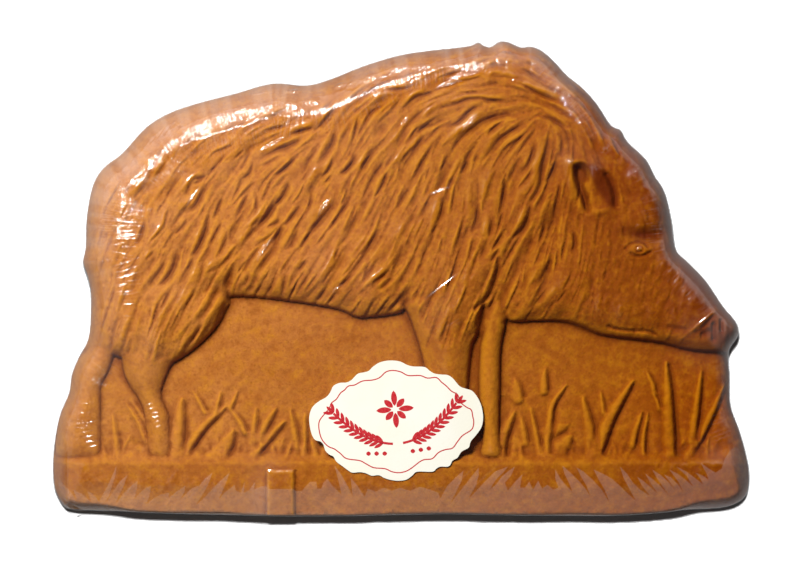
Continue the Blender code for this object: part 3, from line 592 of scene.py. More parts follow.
def sampled(values, x, y):
    """The grid's values at any points, bilinearly."""
    gx = np.clip((x - X_LOW) / STEP, 0, COLUMNS - 1e-6)
    gy = np.clip((y - Y_LOW) / STEP, 0, ROWS - 1e-6)
    j, i = np.floor(gx).astype(int), np.floor(gy).astype(int)
    fx, fy = gx - j, gy - i
    return (values[i, j] * (1 - fx) + values[i, j + 1] * fx) * (1 - fy) + (
        values[i + 1, j] * (1 - fx) + values[i + 1, j + 1] * fx
    ) * fy


def near_run(points, margin, steps=4):
    """For the grid points within a margin of a course: where they are in the grid, their signed
    distance, positive on the side turned from the lamp, and how far along it they are, 0 to 1."""
    path = smooth_run(points, steps)
    low, high = path.min(0) - margin, path.max(0) + margin
    j0, j1 = max(0, int((low[0] - X_LOW) / STEP)), min(COLUMNS, int((high[0] - X_LOW) / STEP) + 1)
    i0, i1 = max(0, int((low[1] - Y_LOW) / STEP)), min(ROWS, int((high[1] - Y_LOW) / STEP) + 1)
    here = (slice(i0, i1 + 1), slice(j0, j1 + 1))
    x, y = X[here][None], Y[here][None]
    a, b = path[:-1, :, None, None], path[1:, :, None, None]
    ex, ey = b[:, 0] - a[:, 0], b[:, 1] - a[:, 1]
    square = ex**2 + ey**2 + 1e-9
    t = np.clip(((x - a[:, 0]) * ex + (y - a[:, 1]) * ey) / square, 0, 1)
    dx, dy = x - a[:, 0] - t * ex, y - a[:, 1] - t * ey
    distance = dx**2 + dy**2
    pick = distance.argmin(0)[None]

    def at(values):
        return np.take_along_axis(np.broadcast_to(values, distance.shape), pick, 0)[0]

    length = np.sqrt(square[:, 0, 0])
    start = np.concatenate([[0], np.cumsum(length)[:-1]])[:, None, None]
    along = at((start + t * length[:, None, None]) / length.sum())
    ex, ey = at(ex), at(ey)
    size = np.hypot(ex, ey) + 1e-9
    cross = (at(dx) * ey - at(dy) * ex) / size
    run = path[-1] - path[0]
    away = -1.0 if (run[1] * LAMP[0] - run[0] * LAMP[1]) > 0 else 1.0
    return here, np.sqrt(at(distance)), np.sign(cross) * away, along


groove = np.zeros(X.shape)
ridge = np.zeros(X.shape)


def carve_lock(points, half_width, depth, lip=0.45):
    """A tapering groove beside a lock of hair: steep under the lock, gentle on the far side."""
    w = half_width * DRAW_UNIT
    here, distance, side, along = near_run(points, 5.0 * w + 0.6)
    swell = np.sin(np.pi * np.clip(along, 0.02, 0.98)) ** 0.6
    spread = np.where(side > 0, 1.25, 0.70) * w * (0.45 + 0.55 * swell)
    cut = depth * swell * np.exp(-((distance / spread) ** 2))
    ends = (along > 0.001) & (along < 0.999) | (distance < w)
    groove[here] = np.maximum(groove[here], cut * ends)
    signed = distance * side
    hump = lip * depth * swell * np.exp(-(((signed + 2.3 * w) / (1.5 * w)) ** 2)) * ends
    ridge[here] = np.maximum(ridge[here], hump)


def carve_line(points, half_width, depth):
    w = half_width * DRAW_UNIT
    here, distance, _side, along = near_run(points, 4.0 * w)
    ends = np.clip(np.minimum(along, 1 - along) / 0.06 + 0.35, 0, 1)
    groove[here] = np.maximum(groove[here], depth * ends * np.exp(-((distance / w) ** 2)))


def raise_blade(points, half_width, height):
    """A raised blade, rounded across, thinner to its tip, with a groove at its shaded side."""
    w = half_width * DRAW_UNIT
    here, distance, side, along = near_run(points, 3.0 * w + 0.5)
    width = w * np.sqrt(np.clip(1.03 - along**2.2, 0.04, 1))
    off = distance / width
    body = height * np.sqrt(np.clip(1 - off**2, 0, 1)) * (1 - 0.35 * along)
    ridge[here] = np.maximum(ridge[here], body)
    signed = distance * side
    cut = 0.75 * height * np.exp(-(((signed - 1.25 * width) / (0.34 * w + 0.22)) ** 2))
    cut *= (along < 0.985) & (along > 0.01)
    groove[here] = np.maximum(groove[here], cut * (1 - 0.5 * along))


# ---------------------------------------------------------------- the biscuit's relief
def limb(points, width, crown):
    inside = softened(inside_distance(X, Y, smooth_loop(points, 4)), 0.7, STEP)
    return np.where(inside > 0, rounded(inside, width, Z_FIELD - 0.9, crown), 0)


trunk = inside_distance(X, Y, smooth_loop(TRUNK, 4))
head = inside_distance(X, Y, smooth_loop(HEAD, 4))
trunk_z = rounded(trunk, 13, Z_FIELD - 0.9, Z_BODY)
trunk_z += 0.5 * np.exp(-(((U - 470) / 75) ** 2) - ((V - 175) / 90) ** 2)
trunk_z -= 0.8 * np.exp(-(((U - 265) / 70) ** 2) - ((V - 190) / 80) ** 2)
head_z = rounded(head, 11, Z_FIELD - 0.9, Z_HEAD)
animal = np.where(trunk > 0, trunk_z, 0)
shank = np.clip((V - 300) / 150, 0, 1)
animal = soft_max(animal, limb(FAR_HIND_LEG, 6.0, 16.8 - 1.6 * shank), 0.9)
animal = soft_max(animal, limb(NEAR_HIND_LEG, 8.0, 19.6 - 4.0 * shank), 0.9)
animal = np.maximum(animal, limb(FAR_FORELEG, 3.6, 16.4))
animal = soft_max(animal, limb(NEAR_FORELEG, 8.0, 19.6 - 3.4 * shank), 0.5)
# The head lies over the neck and runs into it behind the ear.
over = np.where(head > 0, head_z, 0)
animal = soft_max(animal, over, 0.7)
animal[animal < 1.0] = 0
disc = np.clip(1 - ((U - 724) / 15) ** 2 - ((V - 331) / 21) ** 2, 0, 1)
animal = np.maximum(animal, np.where(disc > 0, 14.2 + 3.4 * np.sqrt(disc), 0))

rng = np.random.default_rng(31)
field = Z_FIELD + 0.10 * value_noise(5, X, Y, 5.0) + 0.05 * value_noise(6, X, Y, 2.0)
line = GROUND_LINE + 0.8 * value_noise(7, X, Y, 6.0)
field += (Z_GROUND - Z_FIELD) * step(V, line - 11.0, line + 4.0)
field += 0.10 * value_noise(9, X / 5.0, Y, 1.1) * step(V, 372, 396) * (1 - step(V, 450, 460))
apron = APRON_FALL * np.clip(APRON - EDGE, 0, APRON) * step(V, 430, 475)
field -= softened(apron, 0.5, STEP)
left, right, upper = TAB
tongue = step(U, left - 1.2, left + 1.2) * (1 - step(U, right - 1.2, right + 1.2))
field += TAB_HIGH * tongue * step(V, upper - 1.5, upper + 1.5)

for u0, v0, ru, rv, turn, high in SWELLS:
    a = math.radians(turn)
    p = (U - u0) * math.cos(a) - (V - v0) * math.sin(a)
    q = (U - u0) * math.sin(a) + (V - v0) * math.cos(a)
    animal += np.where(animal > 0, high * np.exp(-((p / ru) ** 2) - (q / rv) ** 2), 0)

pit = inside_distance(X, Y, smooth_loop(EAR_HOLLOW, 4))
leaf = inside_distance(X, Y, smooth_loop(EAR_LEAF, 4))
near_tip = np.clip(1 - np.hypot(U - 572, V - 168) / 62, 0, 1)
ear = (0.15 + 0.85 * near_tip) * step(leaf, -0.8, 2.8)
ear -= (2.0 + 2.6 * near_tip) * step(pit, -0.6, 2.0)
for u0, v0, ru, rv, turn, high in EAR_FOLDS:
    a = math.radians(turn)
    p = (U - u0) * math.cos(a) - (V - v0) * math.sin(a)
    q = (U - u0) * math.sin(a) + (V - v0) * math.cos(a)
    ear += high * np.exp(-((p / ru) ** 2) - (q / rv) ** 2)
animal += np.where(animal > 0, ear, 0)

# Painted shade on the head, darkening the colour where the surface turns from the light or lies in shadow: the back of
# the ear, the hollow of the brow, the bridge of the nose and its tip, under the jaw and beside the ear.
painted_head_shade = 1.0 * step(inside_distance(X, Y, smooth_loop(EAR_BACK, 4)), -0.9, 1.0)
for u0, v0, ru, rv, turn, much in (
    (640, 235, 26, 5.5, -8, 1.0), (690, 279, 34, 10, -52, 0.85), (716, 331, 22, 21, 0, 1.0),
    (690, 345, 34, 4.0, -6, 0.5), (648, 196, 34, 7.0, -68, 0.35),
):
    a = math.radians(turn)
    p = (U - u0) * math.cos(a) - (V - v0) * math.sin(a)
    q = (U - u0) * math.sin(a) + (V - v0) * math.cos(a)
    painted_head_shade = np.maximum(painted_head_shade, much * np.exp(-((p / ru) ** 2) - (q / rv) ** 2))

# Hair: the drawn strokes first, then fine ones in the same flow wherever there is room.
for half_width, depth, points in HAIR:
    carve_lock(points, half_width, 1.22 * depth)

flow = [(u, v, math.radians(a), 1.6) for u, v, a in FLOW]
for _width, _depth, run in HAIR:
    for a, b in zip(run[:-1], run[1:], strict=True):
        flow.append(((a[0] + b[0]) / 2, (a[1] + b[1]) / 2, math.atan2(a[1] - b[1], b[0] - a[0]), 1.0))
doubled_cos, doubled_sin = np.zeros(X.shape), np.zeros(X.shape)
for u, v, turn, share in flow:
    w = share / ((U - u) ** 2 + (V - v) ** 2 + 60) ** 1.5
    doubled_cos += w * math.cos(2 * turn)
    doubled_sin += w * math.sin(2 * turn)
doubled_cos, doubled_sin = softened(doubled_cos, 0.9, STEP), softened(doubled_sin, 0.9, STEP)
TURN = 0.5 * np.arctan2(doubled_sin, doubled_cos)
FLOW_X, FLOW_Y = np.cos(TURN), np.sin(TURN)


def combed(values, reach):
    """The values smeared along the hair, over that reach either way, with a spread of one."""
    spacing = STEP * 1.2
    steps = int(reach / spacing)
    total, weight = values.copy(), 1.0
    for way in (1.0, -1.0):
        gi, gj = np.meshgrid(np.arange(rows_all), np.arange(columns_all), indexing="ij")
        gi, gj = gi.astype(float), gj.astype(float)
        dx, dy = way * FLOW_X, way * FLOW_Y
        for k in range(1, steps + 1):
            gi, gj = gi + dy * 1.2, gj + dx * 1.2
            ii = np.clip(np.rint(gi), 0, rows_all - 1).astype(int)
            jj = np.clip(np.rint(gj), 0, columns_all - 1).astype(int)
            share = 1 - (k / (steps + 1)) ** 2
            total += share * values[ii, jj]
            nx, ny = FLOW_X[ii, jj], FLOW_Y[ii, jj]
            same = np.where(nx * dx + ny * dy < 0, -1.0, 1.0)
            dx, dy = nx * same, ny * same
            weight += share
    total -= total.mean()
    return total / total.std()


rows_all, columns_all = X.shape
fine_hair = combed(value_noise(21, X, Y, 0.66), 4.6)
mid_hair = combed(value_noise(22, X, Y, 1.25), 7.0)
broad_hair = combed(value_noise(23, X, Y, 2.4), 8.0)

hairy = np.maximum(step(trunk, 0.6, 3.0), step(head, 0.6, 3.0))
inset = 9.5 - 4.5 * step(U, 300, 430) - 3.0 * step(U, 440, 520)
inset = inset + 3.0 * np.exp(-(((U - 100) / 30) ** 2)) * (1 - step(V, 165, 200))
inset = inset - 4.5 * step(V, 180, 230) * (1 - step(U, 125, 170))
hairy *= step(EDGE, inset - 3.4, inset + 2.4)
hairy *= 1 - 0.6 * step(leaf, -0.6, 0.8)
on_face = step(U, 575, 615) * step(head, 0.5, 3.0)
eye_place = np.exp(-(((U - 636) / 17) ** 2) - ((V - 248) / 9) ** 2)
snout_place = step(U, 672, 690) * step(V, 296, 312)
hairy *= (1 - eye_place) * (1 - 0.85 * snout_place)
hairy *= 1 - 0.62 * on_face
locks = -0.38 * np.clip(mid_hair - 0.15, 0, 2.2) ** 1.1 - 0.19 * np.clip(fine_hair - 0.1, 0, 2.2)
locks += 0.13 * np.clip(-mid_hair, 0, 2) + 0.26 * broad_hair
# The face is pitted rather than combed.
stubble = combed(value_noise(24, X, Y, 0.8), 1.1)
locks = locks * (1 - 0.35 * on_face) - 0.22 * on_face * np.clip(stubble, -1, 2)
animal += np.where(animal > 0, hairy * locks, 0)

taken = [((p[0] + q[0]) / 2, (p[1] + q[1]) / 2) for _w, _d, run in HAIR for p, q in zip(run[:-1], run[1:], strict=True)]
taken = np.array(taken + [p for _w, _d, run in LINES for p in run])
for _ in range(2600):
    u, v = rng.uniform(96, 690), rng.uniform(56, 345)
    spot = tuple(np.array(c) for c in mm((u, v)))
    if float(sampled(hairy, *spot)) < 0.35:
        continue
    face_here = float(sampled(on_face, *spot)) > 0.5
    if np.hypot(taken[:, 0] - u, taken[:, 1] - v).min() < (8.5 if not face_here else 6.0):
        continue
    length = rng.uniform(11, 28) if not face_here else rng.uniform(5, 12)
    run = [(u, v)]
    for way in (1, -1):
        pu, pv = u, v
        for _step in range(2):
            here = tuple(np.array(c) for c in mm((pu, pv)))
            turn = 0.5 * math.atan2(float(sampled(doubled_sin, *here)), float(sampled(doubled_cos, *here)))
            if math.sin(turn) < 0:
                turn += math.pi
            turn += rng.normal(0, 0.07)
            pu, pv = pu + way * math.cos(turn) * length / 2, pv - way * math.sin(turn) * length / 2
            run = run + [(pu, pv)] if way == 1 else [(pu, pv)] + run
    width = rng.uniform(0.8, 1.6) if not face_here else rng.uniform(0.7, 1.1)
    carve_lock(run, width, rng.uniform(0.22, 0.60) if not face_here else rng.uniform(0.12, 0.28), 0.5)
    taken = np.vstack([taken, run])

for half_width, depth, points in LINES:
    carve_line(points, half_width, depth)

hair_groove, hair_ridge = groove.copy(), ridge.copy()
groove[:], ridge[:] = 0, 0
for half_width, height, points in GRASS:
    raise_blade(points, 1.45 * half_width, 1.2 * height)
# Short stubble between the drawn blades, along the ground.
sprigs = np.random.default_rng(12)
for _ in range(84):
    u = sprigs.uniform(104, 326) if sprigs.random() < 0.5 else sprigs.uniform(484, 716)
    lean, tall = sprigs.normal(0.18, 0.34), sprigs.uniform(9, 27)
    top = (u + lean * tall, 458 - tall)
    raise_blade([(u, 460), (u + 0.4 * lean * tall, 459 - 0.55 * tall), top], sprigs.uniform(1.6, 3.4), sprigs.uniform(0.3, 0.85))
grown = 1 - step(V, 450, 461)
field = field + (softened(ridge, 0.30, STEP) - 0.8 * softened(groove, 0.24, STEP)) * grown
animal = animal + np.where(animal > 0, softened(hair_ridge, 0.2, STEP) - hair_groove, 0)

face = np.maximum(field, softened(animal, 0.13, STEP))
face += 0.075 * value_noise(11, X, Y, 0.62) + 0.085 * value_noise(12, X, Y, 1.3)
face -= 0.45 * np.clip(face - 20.7, 0, None)

weight, total = np.zeros(X.shape), np.zeros(X.shape)
for u0, v0, width in RIM_WIDTHS:
    w = 1 / (((U - u0) ** 2 + (V - v0) ** 2 + 900) ** 2)
    weight, total = weight + w, total + w * width
rim_width = total / weight


AT_FOOT = step(V, 425, 470)


def over_rim(values, distance, width):
    """The face brought down to the side wall over the rounded rim, which breaks off more sharply
    along the feet than along the back."""
    t = np.clip(distance / width, 0, 1)
    fall = np.sqrt(np.clip(1 - (1 - t) ** 2, 0, 1))
    broken = 0.72 * (1 - (1 - t) ** 1.45) + 0.28 * fall
    return Z_SIDE + (values - Z_SIDE) * (fall + (broken - fall) * AT_FOOT)


RIM_EDGE = softened(EDGE, 0.9, STEP) * (1 - AT_FOOT) + EDGE * AT_FOOT
biscuit_z = over_rim(face, RIM_EDGE - FILM_OUT, rim_width)

# ---------------------------------------------------------------- the film, taut over the relief
BLOCK = 3
rows, columns = X.shape
pad_rows, pad_columns = -rows % BLOCK, -columns % BLOCK


def coarse(values, how):
    wide = np.pad(values, ((0, pad_rows), (0, pad_columns)), mode="edge")
    shape = (wide.shape[0] // BLOCK, BLOCK, wide.shape[1] // BLOCK, BLOCK)
    return getattr(wide.reshape(shape), how)(axis=(1, 3))


support = coarse(face, "max")
deep = coarse(EDGE, "mean")
sheet = support.copy()
for _ in range(1800):
    lifted = 0.25 * (
        np.roll(sheet, 1, 0) + np.roll(sheet, -1, 0) + np.roll(sheet, 1, 1) + np.roll(sheet, -1, 1)
    )
    sheet = np.where(deep > 0, np.maximum(support, lifted), support)
sheet = softened(sheet, 1.0, STEP * BLOCK)
ys = (np.arange(sheet.shape[0]) + 0.5) * BLOCK - 0.5
xs = (np.arange(sheet.shape[1]) + 0.5) * BLOCK - 0.5
rise = np.stack([np.interp(np.arange(rows), ys, sheet[:, c]) for c in range(sheet.shape[1])], 1)
sheet = np.stack([np.interp(np.arange(columns), xs, rise[r]) for r in range(rows)], 0)
sheet = softened(sheet, 0.8, STEP)
film_z = over_rim(soft_max(sheet, softened(face, 0.25, STEP) + 0.05, 0.15), RIM_EDGE, rim_width) + 0.10

# Creases along the feet: one long flank turned to the foot, one steep flank behind it.
crumple = np.zeros(X.shape)
for half_width, height, points in CREASES:
    w = half_width * DRAW_UNIT
    here, distance, side, along = near_run(points, 6 * w)
    swell = np.sin(np.pi * np.clip(along, 0.03, 0.97)) ** 0.5
    spread = np.where(side > 0, 2.1, 0.8) * w
    low_down = 0.4 if points[0][1] > 455 else 0.9
    crumple[here] = np.maximum(crumple[here], low_down * height * swell * np.exp(-((distance / spread) ** 2)))
# Fine gathers square to the edge, where the film shrank round the rim.
turns = np.random.default_rng(77)
gathers = np.zeros(X.shape)
around = float(ROUND.max()) + 1e-6


def along_edge(chance, wave):
    """A smooth random value from -1 to 1 along the outline, the same all the way in from it."""
    count = int(around / wave)
    knots = chance.uniform(-1, 1, count)
    at = ROUND / around * count
    k = np.floor(at).astype(int) % count
    f = at - np.floor(at)
    f = f * f * (3 - 2 * f)
    return knots[k] * (1 - f) + knots[(k + 1) % count] * f


streaks = 0
for wave, high in ((0.9, 0.016), (1.3, 0.024), (1.9, 0.036), (3.3, 0.050), (6.5, 0.06)):
    wave_here = high * along_edge(turns, wave)
    gathers += wave_here
    streaks = streaks + (wave_here if wave < 2.5 else 0)
band = step(EDGE, 1.0, 4.0) * (1 - step(EDGE, 1.25 * rim_width, 1.8 * rim_width))
band *= 0.55 + 0.45 * value_noise(41, X, Y, 9.0)
livelier = 1 + 1.0 * step(U, 310, 360) * (1 - step(V, 200, 260))
film_z += crumple + gathers * band * livelier * (1 - 0.35 * AT_FOOT)

# A facet is flat and tilted so that it mirrors the lamp to a viewer straight above.
LAMP_PLACE = np.array([-185.0, 258.0, 560.0])
VIEWER = np.array([0.0, 0.0, 900.0])
drawn_tight = np.zeros(X.shape)
for u0, v0, ru, rv, turn in FACETS:
    a = math.radians(turn)
    p = (U - u0) * math.cos(a) - (V - v0) * math.sin(a)
    q = (U - u0) * math.sin(a) + (V - v0) * math.cos(a)
    inside = 1 - step(np.sqrt((p / ru) ** 2 + (q / rv) ** 2), 0.45, 1.55)
    x0, y0 = mm((u0, v0))
    spot = np.array([x0, y0, 17.0])
    to_lamp, to_eye = LAMP_PLACE - spot, VIEWER - spot
    half = to_lamp / np.linalg.norm(to_lamp) + to_eye / np.linalg.norm(to_eye)
    plane = float(sampled(film_z, np.array(x0), np.array(y0)))
    plane = plane - ((X - x0) * half[0] + (Y - y0) * half[1]) / half[2]
    film_z = film_z * (1 - inside) + plane * inside
    drawn_tight = np.maximum(drawn_tight, inside * (1.0 if min(ru, rv) > 1.7 else 0.3))
film_z += streaks * drawn_tight * 1.5
film_z = soft_max(film_z, over_rim(face, RIM_EDGE - 0.1, rim_width) + 0.03, 0.06)


# Where the film stands off the dough at the rim it is a little milky, with a ragged inner border. The same diffuse
# white also stands in as painted reflection of the bright surroundings, and as painted glare on the rump and back.
frayed = np.random.default_rng(5)
ragged = 0.9 * along_edge(frayed, 7.0) + 0.7 * along_edge(frayed, 2.3) + 0.5 * along_edge(frayed, 1.1)
upper_side = 1 - step(V, 330, 350)
on_head = step(U, 596, 625) * upper_side
on_rump = (1 - step(U, 300, 350)) * (1 - step(V, 200, 330))
on_back = step(U, 320, 370) * (1 - step(U, 560, 590)) * upper_side
left_side = (1 - step(U, 110, 130)) * step(V, 250, 330)
right_side = step(U, 690, 705) * step(V, 335, 350)
nose = 1 - step(np.sqrt(((U - 721) / 19) ** 2 + ((V - 329) / 22) ** 2), 0.8, 1.05)
haze_and_glare = 0.044 * on_head * (1 - step(EDGE + 0.8 * ragged, 4.8, 5.7))
haze_and_glare += (0.105 + 0.050 * along_edge(frayed, 1.3)) * on_rump * (1 - step(EDGE + ragged, 4.0, 12.5))
haze_and_glare += (0.075 + 0.045 * along_edge(frayed, 1.3)) * on_back * (1 - step(EDGE + ragged, 3.0, 10.5))
haze_and_glare += 0.045 * left_side * (1 - step(EDGE + 0.6 * ragged, 2.8, 5.5)) * (1 - step(V, 480, 500))
haze_and_glare += 0.030 * right_side * (1 - step(EDGE + 0.8 * ragged, 3.6, 5.4)) * (1 - step(V, 455, 475))
haze_and_glare += 0.050 * step(V, 488, 500) * (1 - step(EDGE, 0.9, 1.3))
haze_and_glare = np.maximum(haze_and_glare, 0.034 * nose)


# ---------------------------------------------------------------- meshes
def keep(obj):
    bpy.context.scene.collection.objects.link(obj)
    return obj


def moulded_mesh(name, tops, inset, bottom, share):
    """A closed piece with that upper surface, cut to the outline less an inset, with an upright
    side, a rounded lower edge and a flat back. It is thinned to a share of its faces."""
    distance = EDGE - inset
    gy, gx = np.gradient(distance, STEP)
    size = np.maximum(np.hypot(gx, gy), 0.3)
    near = distance > -0.45 * STEP
    cells = near[:-1, :-1] & near[1:, :-1] & near[:-1, 1:] & near[1:, 1:]
    used = np.zeros(X.shape, int)
    for di in (0, 1):
        for dj in (0, 1):
            used[di : di + cells.shape[0], dj : dj + cells.shape[1]] += cells
    border = (used > 0) & (used < 4)
    px = np.where(border, X - gx / size * distance, X)
    py = np.where(border, Y - gy / size * distance, Y)
    pz = np.where(border, Z_SIDE, tops)
    number = np.full(X.shape, -1)
    number[used > 0] = np.arange((used > 0).sum())
    verts = np.stack([px[used > 0], py[used > 0], pz[used > 0]], 1)
    i, j = np.nonzero(cells)
    faces = np.stack([number[i, j], number[i, j + 1], number[i + 1, j + 1], number[i + 1, j]], 1)
    mesh = bpy.data.meshes.new(name)
    mesh.from_pydata((verts / 1000).tolist(), [], faces.tolist())
    bm = bmesh.new()
    bm.from_mesh(mesh)
    loose = [v for v in bm.verts if not v.link_faces]
    bmesh.ops.delete(bm, geom=loose, context="VERTS")
    ring = [e for e in bm.edges if len(e.link_faces) == 1]
    # Walk down the side in rings: upright, then rounded in to the back.
    normal = {}
    for edge in ring:
        a, b = edge.verts
        loop = edge.link_loops[0]
        a, b = loop.vert, loop.link_loop_next.vert
        out = Vector((b.co.y - a.co.y, -(b.co.x - a.co.x), 0))
        for vert in (a, b):
            normal[vert] = normal.get(vert, Vector((0, 0, 0))) + out
    for _ in range(3):
        smooth = {v: n.copy() for v, n in normal.items()}
        for edge in ring:
            a, b = edge.verts
            smooth[a] += normal[b] * 0.5
            smooth[b] += normal[a] * 0.5
        normal = smooth
    normal = {v: n.normalized() for v, n in normal.items()}
    start = {v: v.co.copy() for v in normal}
    rounding = 1.0
    levels = [(0.0, 2.6)] + [
        (rounding * (1 - math.cos(a)), rounding * (1 - math.sin(a)))
        for a in np.linspace(0, math.pi / 2, 4)
    ]
    current = {v: v for v in normal}
    for inward, z in levels:
        made = {v: bm.verts.new(start[v] - normal[v] * inward / 1000) for v in normal}
        for v, w in made.items():
            w.co.z = (bottom + z) / 1000
        for edge in ring:
            loop = edge.link_loops[0]
            a, b = loop.vert, loop.link_loop_next.vert
            bm.faces.new((current[b], current[a], made[a], made[b]))
        current = made
    rim = [e for e in bm.edges if len(e.link_faces) == 1]
    bmesh.ops.contextual_create(bm, geom=rim)
    bmesh.ops.recalc_face_normals(bm, faces=bm.faces)
    bmesh.ops.triangulate(bm, faces=[f for f in bm.faces if len(f.verts) > 4])
    bm.to_mesh(mesh)
    bm.free()
    if share < 1:
        raw = keep(bpy.data.objects.new(name + "_raw", mesh))
        thin = raw.modifiers.new("thinned", "DECIMATE")
        thin.ratio = share
        bpy.context.view_layer.update()
        graph = bpy.context.evaluated_depsgraph_get()
        mesh = bpy.data.meshes.new_from_object(raw.evaluated_get(graph))
        bpy.data.objects.remove(raw)
        mesh.name = name
    mesh.shade_smooth()
    piece = keep(bpy.data.objects.new(name, mesh))
    place = np.empty(len(mesh.vertices) * 3)
    mesh.vertices.foreach_get("co", place)
    place = place.reshape(-1, 3) * 1000
    own = np.empty(len(mesh.vertices) * 3)
    mesh.vertices.foreach_get("normal", own)
    own = own.reshape(-1, 3)
    gy, gx = np.gradient(tops, STEP)
    slope = np.stack([-sampled(gx, place[:, 0], place[:, 1]), -sampled(gy, place[:, 0], place[:, 1])], 1)
    fine = np.column_stack([slope, np.ones(len(slope))])
    fine /= np.linalg.norm(fine, axis=1)[:, None]
    inner = sampled(distance, place[:, 0], place[:, 1])
    top = ((inner > 1.2) & (place[:, 2] > Z_SIDE + 0.5))[:, None]
    normals = np.where(top, fine, own)
    mesh.normals_split_custom_set_from_vertices(normals.tolist())
    return piece, place


def point_values(piece, name, values):
    layer = piece.data.attributes.new(name, "FLOAT", "POINT")
    layer.data.foreach_set("value", values.astype(np.float32))


couque, place = moulded_mesh("couque", biscuit_z, FILM_OUT, 0.12, 0.29)
# Painted relief shading for the dough's colour: hollows below the blurred surface are darkened as painted shade, raised
# ridges above it lightened as painted highlight; the wider map darkens only the deeper hollows.
relief_shading_map = np.clip((softened(face, 1.0, STEP) - face) / 0.55, -1, 1)
deep_shade_map = np.clip((softened(face, 2.6, STEP) - face) / 1.6, -1, 1)
on_top = place[:, 2] > Z_SIDE
point_values(couque, "painted_relief_shading", np.where(on_top, sampled(relief_shading_map, place[:, 0], place[:, 1]), 0))
point_values(couque, "painted_deep_shade", np.where(on_top, sampled(deep_shade_map, place[:, 0], place[:, 1]), 0))
# The head's painted shade, carried to the dough's colour.
point_values(couque, "painted_head_shade", np.where(on_top, sampled(painted_head_shade, place[:, 0], place[:, 1]), 0))
film, place = moulded_mesh("film", film_z, 0.0, 0.0, 0.29)
on_top = place[:, 2] > Z_SIDE
gathered = np.maximum(0.8 * drawn_tight, (0.35 + 0.55 * on_back + 0.25 * on_rump) * band * (1 - AT_FOOT))
point_values(film, "gathered", np.where(on_top, sampled(gathered, place[:, 0], place[:, 1]), 0))
# The film's haze, partly real and partly painted reflection and glare.
point_values(film, "haze_and_glare", np.where(on_top, sampled(haze_and_glare, place[:, 0], place[:, 1]), 0))
point_values(film, "round_edge", sampled(ROUND, place[:, 0], place[:, 1]))
point_values(film, "from_edge", sampled(EDGE, place[:, 0], place[:, 1]))


def label_sheet(name, height, thick, loop, spacing=0.5):
    """A thin closed sheet inside a loop, lying on a height field."""
    x, y = np.meshgrid(
        np.arange(loop[:, 0].min() - 1, loop[:, 0].max() + 1, spacing),
        np.arange(loop[:, 1].min() - 1, loop[:, 1].max() + 1, spacing),
    )
    bm = bmesh.new()
    inside = inside_distance(x, y, loop) > 0.45 * spacing
    points = [(px, py) for px, py in zip(x[inside], y[inside], strict=True)]
    from mathutils.geometry import delaunay_2d_cdt

    border = [tuple(p) for p in loop]
    flat = [Vector(p) for p in border + points]
    edges = [(k, (k + 1) % len(border)) for k in range(len(border))]
    verts, _edges, faces, *_ = delaunay_2d_cdt(flat, edges, [], 1, 1e-5)
    vx, vy = np.array([v.x for v in verts]), np.array([v.y for v in verts])
    z = height(vx, vy)
    made = [bm.verts.new((a / 1000, b / 1000, c / 1000)) for a, b, c in zip(vx, vy, z, strict=True)]
    for f in faces:
        bm.faces.new([made[k] for k in f])
    bmesh.ops.recalc_face_normals(bm, faces=bm.faces)
    if sum(f.normal.z for f in bm.faces) < 0:
        bmesh.ops.reverse_faces(bm, faces=bm.faces)
    geom = bmesh.ops.extrude_face_region(bm, geom=bm.faces[:])
    for item in geom["geom"]:
        if isinstance(item, bmesh.types.BMVert):
            item.co.z += thick / 1000
    bmesh.ops.recalc_face_normals(bm, faces=bm.faces)
    mesh = bpy.data.meshes.new(name)
    bm.to_mesh(mesh)
    bm.free()
    mesh.shade_smooth()
    mesh.set_sharp_from_angle(angle=math.radians(40))
    return keep(bpy.data.objects.new(name, mesh))
